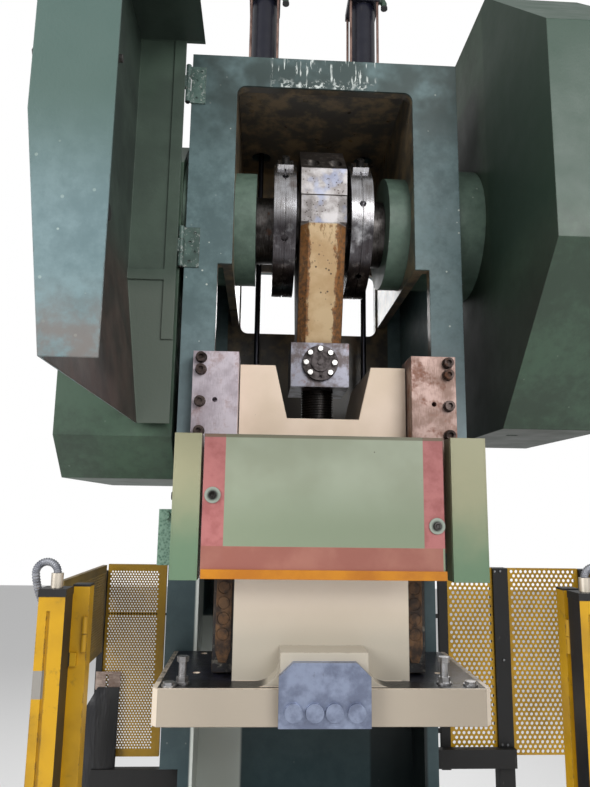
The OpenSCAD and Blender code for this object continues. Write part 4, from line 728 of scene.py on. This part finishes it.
screens = Solid()
for x0, x1, holes in ((-0.602, -0.428, FINE), (0.423, 0.563, COARSE), (0.609, 0.833, COARSE)):
    # Plain margins at the left, right, foot and top
    margin = (0.004, 0.020, 0.018, 0.016) if holes == FINE else (SHEET,) * 4
    screens.perforated((x0, SCREEN_FRONT, SCREEN_LOW), (x1, SCREEN_FRONT, SCREEN_TOP), SHEET, *holes, margin)
    near, far = SCREEN_FRONT + 0.0003, SCREEN_FRONT + 0.012
    for x in (x0, x1 - SHEET):
        screens.block((x, near, SCREEN_LOW), (x + SHEET, far, SCREEN_TOP))
    for z in (SCREEN_LOW, SCREEN_TOP - SHEET):
        screens.block((x0 + SHEET, near, z), (x1 - SHEET, far, z + SHEET))
screens.piece("perforated_screens", "machine", "yellow", screen_yellow, "mesh_screens")

# A gate's leaf is made along X from its pin, then stood on it
GATE_LOW, GATE_LENGTH, GATE_START, GATE_MARGIN = 1.184, 0.440, 0.010, 0.016
LEAF_FRONT, LEAF_SHEET, LEAF_BACK = -0.001, 0.009, 0.0107
PIN_RADIUS, KNUCKLE_RADIUS = 0.0038, 0.008
for side, pin_x, holes in (("left", -0.611, FINE), ("right", 0.858, COARSE)):
    leaf = Solid()
    low, high = (GATE_START, LEAF_SHEET, GATE_LOW), (GATE_LENGTH, LEAF_SHEET, SCREEN_TOP)
    leaf.perforated(low, high, SHEET, *holes, (GATE_MARGIN,) * 4)
    for x in (GATE_START, GATE_LENGTH - SHEET):
        leaf.block((x, LEAF_FRONT, GATE_LOW), (x + SHEET, LEAF_BACK, SCREEN_TOP))
    for z in (GATE_LOW, SCREEN_TOP - SHEET):
        leaf.block((GATE_START + SHEET, LEAF_FRONT, z), (GATE_LENGTH - SHEET, LEAF_BACK, z + SHEET))
    for z in (GATE_LOW + 0.030, SCREEN_TOP - 0.080):
        leaf.turned([(PIN_RADIUS, z), (PIN_RADIUS, z + 0.0205)], (0, 0), 24)
        leaf.turned([(KNUCKLE_RADIUS, z + 0.0205), (KNUCKLE_RADIUS, z + 0.044)], (0, 0), 24)
        leaf.block((0.002, 0, z + 0.022), (0.012, 0.009, z + 0.042))
    # Turned about Z so that the leaf hangs forward of its pin, its sheet towards the inside
    turn = Matrix(((0, 1, 0, 0), (-1, 0, 0, 0), (0, 0, 1, 0), (0, 0, 0, 1)))
    if side == "right":
        turn = Matrix.Scale(-1, 4, (1, 0, 0)) @ turn
    stand = Matrix.Translation((pin_x, 0.010, 0)) @ turn
    gate = "gate_" + side
    leaf.piece("perforated_" + gate, gate, "yellow", gate_shaded_yellow, gate, move=stand)


def flap_look(place):
    wave = place.noise(0.05, 3, 0.5, (1, 1, 4)).step(0.4, 0.65)
    return skin(place, wave.pick(rgb(8, 8, 10), rgb(20, 20, 24)), wave * -0.25 + 0.55, wave * 0.004)


# The columns' fronts carry the cage's rails, and screws hold the screens to the middle one
COLUMN_FRONT, RAIL, FRAME_SIDE = 0.020, 0.024, 0.3635
rails = Solid()
rails.block((-0.611, COLUMN_FRONT - RAIL, 0.815), (-FRAME_SIDE, COLUMN_FRONT - GAP, 0.870))
rails.block((FRAME_SIDE, COLUMN_FRONT - RAIL, 0.868), (0.607, COLUMN_FRONT - GAP, 0.919))
rails.block((-0.603, 0.034, 1.2810), (-FRAME_SIDE, 0.045, 1.2870))
rails.piece("cage_rails", "machine", "black", black)

screw_heads = Solid()
for x, z in ((0.5683, 1.4181), (0.5855, 1.4192), (0.5874, 1.1608), (0.5730, 0.9247), (0.5894, 0.9239)):
    screw_heads.turned([(0.0030, COLUMN_FRONT - 0.003), (0.0042, COLUMN_FRONT - 0.0001)], (x, z), 20, True)
screw_heads.piece("cage_screws", "machine", "steel", steel("zinc_screws", MILD, MILD_DARK, 0.35))

# A slotted bare plate on the left column holds a black rubber flap
slotted = Solid()
PLATE = COLUMN_FRONT - 0.0032
for x0, z0, x1 in ((-0.617, 1.077, -0.588), (-0.580, 1.077, -0.546), (-0.588, 1.118, -0.580)):
    slotted.block((x0, PLATE, z0), (x1, PLATE + 0.003, 1.126))
bare_plate = steel("bare_plate", rgb(176, 160, 150), rgb(124, 108, 100), 0.2, 0.35)
slotted.piece("slotted_plate", "machine", "steel", bare_plate)

flap = Solid()
ACROSS, DOWN, FLAP_TOP, FLAP_LENGTH = 14, 24, 1.084, 0.380
FLAP_LEFT, FLAP_RIGHT, FLAP_THICK = -0.609, -0.547, 0.0025
for back in (0, 1):
    for i in range(DOWN + 1):
        for j in range(ACROSS + 1):
            u, t = j / ACROSS, i / DOWN
            left = FLAP_LEFT - 0.031 * min(t * 7, 1)
            bow = 0.014 * math.sin(math.pi * u) * math.sin(math.pi * min(t * 1.4, 1)) + 0.010 * t
            y = PLATE - 0.0030 - bow + back * FLAP_THICK
            flap.corners.append((left + (FLAP_RIGHT - left) * u, y, FLAP_TOP - FLAP_LENGTH * t))
wide, layer = ACROSS + 1, (ACROSS + 1) * (DOWN + 1)
for i in range(DOWN):
    for j in range(ACROSS):
        a = i * wide + j
        b = layer + a
        flap.faces += [(a, a + wide, a + wide + 1, a + 1), (b, b + 1, b + wide + 1, b + wide)]
# The edge runs along the top, down the right, back along the foot and up the left
around = [*range(wide), *range(2 * wide - 1, layer, wide)]
around += [*range(layer - 2, layer - wide - 1, -1), *range(layer - 2 * wide, 0, -wide)]
for a, b in zip(around, around[1:] + around[:1]):
    flap.faces.append((a, b, layer + b, layer + a))
flap = flap.piece("rubber_flap", "machine", "rubber", finish("flap_rubber", flap_look))


# Push-button box: a small die-cast box in hammered green. It sits flat on the frame's left
# side plate.
def hammered_look(place):
    dimple = place.cells(0.006)
    tone = (dimple * 0.8 + place.noise(0.05, 3) * 0.4).step(0.2, 0.8)
    tone = tone.pick(rgb(70, 104, 88), rgb(122, 152, 134))
    return skin(place, tone, dimple * 0.2 + 0.25, dimple * 0.0008)


dress(finish("hammered_green", hammered_look), "junction_box")


# Crown door: a folded sheet cover hinged on the left, shown swung open. Its outside is pale
# green and scuffed, and its inside brown with oil below. Painted shade darkens the outside
# towards the top and makes the inside dark green above.
DOOR_FOLD, DOOR_LEAN, DOOR_FACE = 2.170, -0.1162, -0.2518


def door_look(place):
    x, y, z = (place.part(axis) for axis in range(3))
    green, dark_green, chip = rgb(112, 134, 138), rgb(90, 112, 116), rgb(176, 192, 184)
    colour, rough, height = worn_paint(place, green, dark_green, chip, 0.5, 0.0003)
    # Painted shade: the outside darkens towards the top
    colour = z.step(1.98, 2.22).pick(colour, rgb(68, 90, 84))
    browned = z.step(1.93, 1.82) * place.noise(0.06, 5, 0.65).step(0.36, 0.6)
    colour = (browned * 0.75).pick(colour, rgb(112, 100, 94))
    # Below its fold the outer face leans by a share of the height
    front = z.math("MINIMUM", z, DOOR_FOLD) * DOOR_LEAN + DOOR_FACE
    inside = (x - front).step(0.001, 0.003) * y.step(-1.124, -1.121) * y.step(-0.413, -0.418)
    hinge_side = y.step(-0.431, -0.427)
    oil = z.step(2.26, 2.1) * (1 - hinge_side)
    brown = place.noise(0.1, 5, 0.6).step(0.35, 0.65).pick(rgb(66, 50, 44), rgb(36, 28, 24))
    cloud = place.noise(0.15, 5, 0.6).step(0.35, 0.65)
    # Painted shade: above the oil the inside is dark green; the hinge-side wall is less dark, and painted
    # light makes it lighter below 2.12 m
    dark = cloud.pick(rgb(58, 70, 62), rgb(42, 52, 46))
    wall = cloud.pick(rgb(72, 88, 76), rgb(60, 74, 64))
    wall = z.step(2.20, 2.12).pick(wall, rgb(88, 98, 88))
    dark = hinge_side.pick(dark, wall)
    colour = inside.pick(colour, oil.pick(dark, brown))
    return skin(place, colour, rough, height, 0.002)


def hinge_look(place):
    colour, rough, height = worn_paint(place, rgb(92, 116, 108), rgb(60, 80, 74), rgb(176, 178, 170), 1.6)
    scratch = place.noise(0.008, 4, 0.7).step(0.55, 0.64)
    colour = (scratch * 0.7).pick(colour, rgb(168, 172, 168))
    return skin(place, colour, rough, height)


dress(finish("door_green", door_look), "crown_door")
hinge_green = finish("hinge_green", hinge_look)
dress(hinge_green, "frame_hinge_leaves", "door_hinge_leaves")
dress(dark_steel, "hinge_pins", "door_bolt")
dress(black, "door_buffer")


# Crankshaft and stroke rings: a forged shaft, and two ground rings that socket screws clamp
# on its shoulders. The rings' lower halves are darker.
def ring_look(place):
    turn = place.noise(0.0009, 2, 0.6, (1, 60, 60))
    stain = place.noise(0.05, 5, 0.65)
    colour = (turn * 0.5 + stain * 0.5).step(0.36, 0.64).pick(rgb(214, 214, 218), rgb(142, 138, 136))
    oil = place.noise(0.07, 5, 0.6).step(0.56, 0.7) * 0.6
    colour = oil.pick(colour, rgb(92, 70, 54))
    # The rings are painted darker on their lower halves
    low = place.part(2).step(AXLE_Z + 0.03, AXLE_Z - 0.07) * place.noise(0.04, 4).step(0.2, 0.5)
    colour = (low * 0.9).pick(colour, rgb(46, 40, 44))
    return skin(place, colour, turn * 0.12 + stain * 0.12 + 0.14, turn * 0.00003, 0.001, metal=1.0)


dress(finish("ring_steel", ring_look), "stroke_ring_left", "stroke_ring_right")
shaft_steel = steel("shaft_steel", rgb(110, 106, 104), rgb(52, 48, 46), 0.3, 0.2, (1, 14, 14))
dress(shaft_steel, "crankshaft")
dress(dark_steel, "ring_screws", "cap_bolts")


# Connecting rod: a steel casting. Its machined head is bare, and the cream paint of the
# shank has rusted through along the chamfers and is pitted down its face.
ROD_HALF, HEAD_FOOT, CAP_JOINT, CAP_FACET = 0.062, AXLE_Z - 0.050, AXLE_Z + 0.030, 2.5095


def pits(place, size, share):
    """Pits that lie about a size apart, in patches that grow with a share."""
    return place.cells(size).step(0.3, 0.16) * place.noise(size * 5, 3, 0.6).step(0.62 - share, 0.7 - share)


def bare_head(place):
    """Machined steel with a blue sheen, and its rust spots and stains."""
    stain = place.noise(0.04, 6, 0.65)
    colour = stain.step(0.38, 0.64).pick(rgb(196, 192, 192), rgb(150, 144, 142))
    blue = place.noise(0.09, 3).step(0.58, 0.66) * 0.5
    colour = blue.pick(colour, rgb(150, 164, 200))
    spots = pits(place, 0.008, 0.12) * 0.8
    return spots.pick(colour, rgb(70, 58, 52)), spots, stain


def cap_look(place):
    z = place.part(2)
    colour, spots, stain = bare_head(place)
    # The upper facet is painted in dark greys
    facet = z.step(CAP_FACET - 0.001, CAP_FACET + 0.001)
    facet_tone = place.noise(0.02, 5, 0.7).step(0.5, 0.7).pick(rgb(52, 47, 44), rgb(110, 102, 96))
    colour = facet.pick(colour, facet_tone)
    # Painted shade: the side faces are darker
    side = abs(place.part(0)).step(ROD_HALF - 0.0002, ROD_HALF + 0.0001)
    colour = (side * 0.85).pick(colour, rgb(40, 35, 31))
    joint = z.step(CAP_JOINT + 0.0025, CAP_JOINT + 0.001)
    colour = joint.pick(colour, rgb(40, 34, 30))
    return skin(place, colour, stain * 0.3 + 0.3, spots * -0.0003, 0.0015, metal=0.55)


def rod_face_look(place):
    x, z = place.part(0), place.part(2)
    bare, spots, stain = bare_head(place)
    cream = place.noise(0.08, 5, 0.6).step(0.36, 0.66).pick(rgb(216, 188, 146), rgb(196, 162, 118))
    run = place.noise(0.024, 6, 0.68, (1, 1, 3.5))
    rusty = (abs(x).step(0.018, 0.046) * 0.36 + run * 0.9).step(0.62, 0.72)
    rust = place.noise(0.012, 5, 0.7).step(0.38, 0.62).pick(rgb(150, 94, 42), rgb(84, 54, 34))
    colour = (rusty * 0.9).pick(cream, rust)
    mid = z.step(2.02, 2.2) * z.step(2.36, 2.2)
    holes = pits(place, 0.011, 0.1) * (mid * 0.7 + 0.3)
    colour = holes.pick(colour, rgb(58, 42, 30))
    top = z.step(HEAD_FOOT - 0.002, HEAD_FOOT + 0.002)
    drip = place.noise(0.014, 5, 0.7, (1, 1, 4)).step(0.5, 0.6) * z.step(HEAD_FOOT - 0.08, HEAD_FOOT)
    colour = (drip * 0.8).pick(colour, rgb(136, 88, 34))
    colour = top.pick(colour, bare)
    # Painted shade: the side faces are darker
    side = abs(x).step(ROD_HALF - 0.002, ROD_HALF - 0.0005)
    colour = (side * 0.85).pick(colour, rgb(52, 42, 34))
    joint = z.step(CAP_JOINT - 0.0025, CAP_JOINT - 0.001)
    colour = joint.pick(colour, rgb(40, 34, 30))
    height = (1 - rusty * 0.6 - holes) * 0.0005 - spots * 0.0002
    return skin(place, colour, stain * 0.25 + 0.38 + rusty * 0.2, height, 0.002, metal=top * 0.55)


dress(finish("cap_steel", cap_look), "rod_cap")
dress(finish("rod_cream", rod_face_look), "connecting_rod")


# Adjusting block: the steel worm housing on the rod's foot that turns the screw. Bright bolts
# hold its round cover.
def block_look(place):
    stain = place.noise(0.04, 6, 0.65)
    colour = stain.step(0.4, 0.6).pick(rgb(136, 136, 146), rgb(92, 84, 84))
    brown = place.noise(0.03, 5, 0.7).step(0.55, 0.7)
    colour = (brown * 0.6).pick(colour, rgb(106, 72, 60))
    return skin(place, colour, stain * 0.3 + 0.22, place.noise(0.004, 3) * 0.0001, metal=0.8)


def cover_look(place):
    stain = place.noise(0.02, 5, 0.65)
    colour = stain.step(0.4, 0.62).pick(rgb(84, 78, 78), rgb(48, 43, 42))
    return skin(place, colour, stain * 0.3 + 0.3, place.noise(0.002, 3) * 0.00008, metal=0.8)


def bright_look(place):
    stain = place.noise(0.01, 4)
    colour = stain.pick(rgb(236, 234, 230), rgb(206, 204, 200))
    return skin(place, colour, stain * 0.15 + 0.2, stain * 0.00005, metal=0.9)


dress(finish("block_steel", block_look), "adjusting_block")
dress(finish("cover_steel", cover_look), "block_cover")
dress(finish("bright_bolts", bright_look), "cover_bolts")


# Adjusting screw: turned from black steel, with a coarse thread above the ball end that
# presses on the slide. The block holds its plain upper end.
def screw_look(place):
    stain = place.noise(0.02, 4)
    colour = stain.pick(rgb(58, 54, 52), rgb(28, 26, 25))
    return skin(place, colour, stain * 0.2 + 0.2, stain * 0.00005, metal=0.85)


def thread(solid, centre, crest, root, pitch, low, high, sides=64):
    """A helical thread. Each turn has a flat crest, a flat root and two flanks."""
    turns = int((high - low) / pitch) + 2
    steps = ((0.0, root), (0.22, root), (0.42, crest), (0.80, crest))
    rows = [(turn + share, radius) for turn in range(-1, turns) for share, radius in steps]
    corners = []
    for i in range(sides):
        angle = math.tau * i / sides
        for row, radius in rows:
            z = min(max(low + (row + i / sides) * pitch, low), high)
            corners.append((centre[0] + radius * math.cos(angle), centre[1] + radius * math.sin(angle), z))
    faces = []
    for i in range(sides):
        j, shift = ((i + 1) % sides, 4 if i == sides - 1 else 0)
        for row in range(len(rows) - 1 - shift):
            a, b = i * len(rows) + row, j * len(rows) + row + shift
            faces.append((a, b, b + 1, a + 1))
    solid.add(corners, faces)


screw = Solid()
AXIS, BALL_Z, BALL_RADIUS = (0, AXLE_Y), 1.636, 0.060
CREST, ROOT, LEAD = 0.0449, 0.0415, 0.0070
THREAD_LOW, THREAD_TOP, SCREW_TOP = 1.672, 1.932, 2.134
ball = [math.radians(5 * step - 64) for step in range(21)]
screw.turned([(BALL_RADIUS * math.cos(a), BALL_Z + BALL_RADIUS * math.sin(a)) for a in ball], AXIS, 64)
thread(screw, AXIS, CREST, ROOT, LEAD, THREAD_LOW, THREAD_TOP)
core, shoulder = ROOT + 0.0001, THREAD_TOP - 0.001
screw.turned([(core, 1.660), (core, shoulder), (CREST, shoulder), (CREST, SCREW_TOP)], AXIS)
screw.piece("threaded_screw", "rod", "dark_steel", finish("screw_black", screw_look), "adjusting_screw")


# Slide: a cream-painted casting with a flange for the upper tool. Brown guide strips run up
# its sides, and black grease lies on the flange and beside the strips.
FLANGE_FRONT, FLANGE_TOP = -0.460, 1.200
CREAM, CREAM_DARK = rgb(243, 221, 200), rgb(230, 208, 184)


def slide_look(place):
    x, y, z = (place.part(axis) for axis in range(3))
    tone = place.noise(0.2, 4).step(0.35, 0.65).pick(CREAM, CREAM_DARK)
    specks = place.cells(0.05).step(0.035, 0.02) * place.noise(0.12, 2).step(0.46, 0.54)
    colour = specks.pick(tone, rgb(70, 58, 48))
    mottle = place.noise(0.02, 5, 0.7)
    grease = mottle.step(0.35, 0.65).pick(rgb(8, 8, 9), rgb(28, 26, 29))
    tops = place.node("NewGeometry", None, None, 3).part(2).step(0.5, 0.8)
    above = z.step(FLANGE_TOP + 0.0005, FLANGE_TOP + 0.0020)
    ledge = abs(x).step(0.3745, 0.3725) * y.step(FLANGE_FRONT + 0.0055, FLANGE_FRONT + 0.008) * tops
    ledge = ledge * z.step(FLANGE_TOP - 0.05, FLANGE_TOP - 0.01)
    ledge = ledge * z.step(FLANGE_TOP + 0.01, FLANGE_TOP + 0.0005)
    wing = abs(x).step(0.2095, 0.2115) * above * (mottle.step(0.3, 0.5) * 0.3 + 0.7)
    seam = (z + mottle * 0.02).step(FLANGE_TOP + 0.014, FLANGE_TOP + 0.006)
    seam = seam * z.step(FLANGE_TOP - 0.0015, FLANGE_TOP)
    seam = seam * y.step(-0.4, -0.392) * abs(x).step(0.19, 0.194)
    # Painted shade: the flange's front face is darker
    front = y.step(FLANGE_FRONT + 0.0015, FLANGE_FRONT + 0.0005)
    front = front * z.step(FLANGE_TOP + 0.0005, FLANGE_TOP - 0.001)
    # The cream is darker below 1.5 m. Painted light brightens the face under the guard, where its shadow
    # falls, and the face just above the flange is greyer.
    colour = (z.step(1.6, 1.4) * 0.8).pick(colour, rgb(212, 200, 182))
    under = y.step(-0.44, -0.43) * z.step(1.34, 1.42) * z.step(1.6, 1.5)
    colour = (under * 0.9).pick(colour, rgb(255, 240, 222))
    colour = (z.step(1.38, 1.28) * above).pick(colour, rgb(178, 170, 155))
    colour = front.pick(colour, rgb(166, 155, 140))
    dirt = ledge | wing | seam
    colour = dirt.pick(colour, grease)
    blue = seam * mottle.step(0.45, 0.6) * 0.6
    colour = blue.pick(colour, rgb(52, 54, 96))
    # Painted shade: darker brown on the slide where it lies inside the frame
    shaded_recess = y.step(-0.385, -0.375) * z.step(1.3, 1.35)
    colour = (shaded_recess * 0.7).pick(colour, rgb(60, 48, 38))
    rim = place.edges(0.003).step(0.04, 0.15) * place.noise(0.02, 4).step(0.48, 0.6) * 0.6
    colour = rim.pick(colour, rgb(120, 96, 70))
    rough = place.noise(0.1, 4) * 0.2 + 0.34 - dirt * 0.1
    return skin(place, colour, rough, place.noise(0.006, 2) * 0.00012 + dirt * mottle * 0.0015, 0.003)


def strip_look(place):
    stain = place.noise(0.03, 5, 0.65)
    colour = stain.step(0.38, 0.62).pick(rgb(100, 70, 42), rgb(48, 34, 24))
    # Painted highlight: lighter brown patches on the strips
    painted_gloss = place.noise(0.05, 4).step(0.5, 0.6) * 0.5
    colour = painted_gloss.pick(colour, rgb(130, 96, 64))
    return skin(place, colour, stain * 0.3 + 0.28, stain * 0.0002, metal=0.2)


def clamp_look(place):
    stain = place.noise(0.05, 6, 0.6)
    colour = stain.step(0.38, 0.64).pick(rgb(150, 160, 184), rgb(116, 124, 146))
    dark = place.noise(0.02, 5, 0.7).step(0.6, 0.72) * 0.35
    colour = dark.pick(colour, rgb(78, 72, 72))
    return skin(place, colour, stain * 0.25 + 0.3, place.noise(0.003, 3) * 0.00006, metal=0.75)


dress(finish("slide_cream", slide_look), "slide")
dress(finish("strip_brown", strip_look), "guide_strips")
dress(finish("clamp_steel", clamp_look), "clamp_plate")
flange_steel = steel("flange_steel", rgb(184, 184, 186), rgb(112, 108, 106), 0.1, 0.22)
dress(flange_steel, "flange_fasteners")


# Studio: a pale floor and a white surround, with broad soft lamps in front, from the left
# and behind. The floor is no piece of the press.
ground_mesh = bpy.data.meshes.new("floor")
ground_mesh.from_pydata([(-12, -12, 0), (12, -12, 0), (12, 12, 0), (-12, 12, 0)], [], [(0, 1, 2, 3)])
ground = bpy.data.objects.new("floor", ground_mesh)
bpy.context.scene.collection.objects.link(ground)
dress(finish("floor_pale", lambda place: {"Base Color": (0.8, 0.8, 0.8, 1), "Roughness": 0.8}), ground)

world = bpy.data.worlds.new("studio")
bpy.context.scene.world = world
world.use_nodes = True
sky = world.node_tree.nodes["Background"]
ray = Shade(world.node_tree)
strength = ray.node("LightPath", None, None, 0) * 0.45 + 0.55
world.node_tree.links.new(strength.socket, sky.inputs["Strength"])
sky.inputs["Color"].default_value = (1, 1, 1, 1)


def lamp(name, place, aim, size, power):
    """A soft lamp at a place that shines on its aim."""
    light = bpy.data.lights.new(name, "AREA")
    light.shape = "RECTANGLE"
    light.size, light.size_y = size
    light.energy = power
    holder = bpy.data.objects.new(name, light)
    holder.location = place
    holder.rotation_euler = (Vector(aim) - Vector(place)).to_track_quat("-Z", "Y").to_euler()
    bpy.context.scene.collection.objects.link(holder)


lamp("lamp_left", (-3.2, -2.6, 3.2), (0, -0.3, 1.9), (2.0, 2.6), 130)
lamp("lamp_front", (1.6, -3.6, 3.4), (0, -0.3, 1.8), (2.4, 2.0), 90)
lamp("lamp_back", (0.5, 3.2, 3.6), (0, 0, 2.2), (2.5, 2.0), 70)

bpy.context.scene.view_settings.view_transform = "Standard"
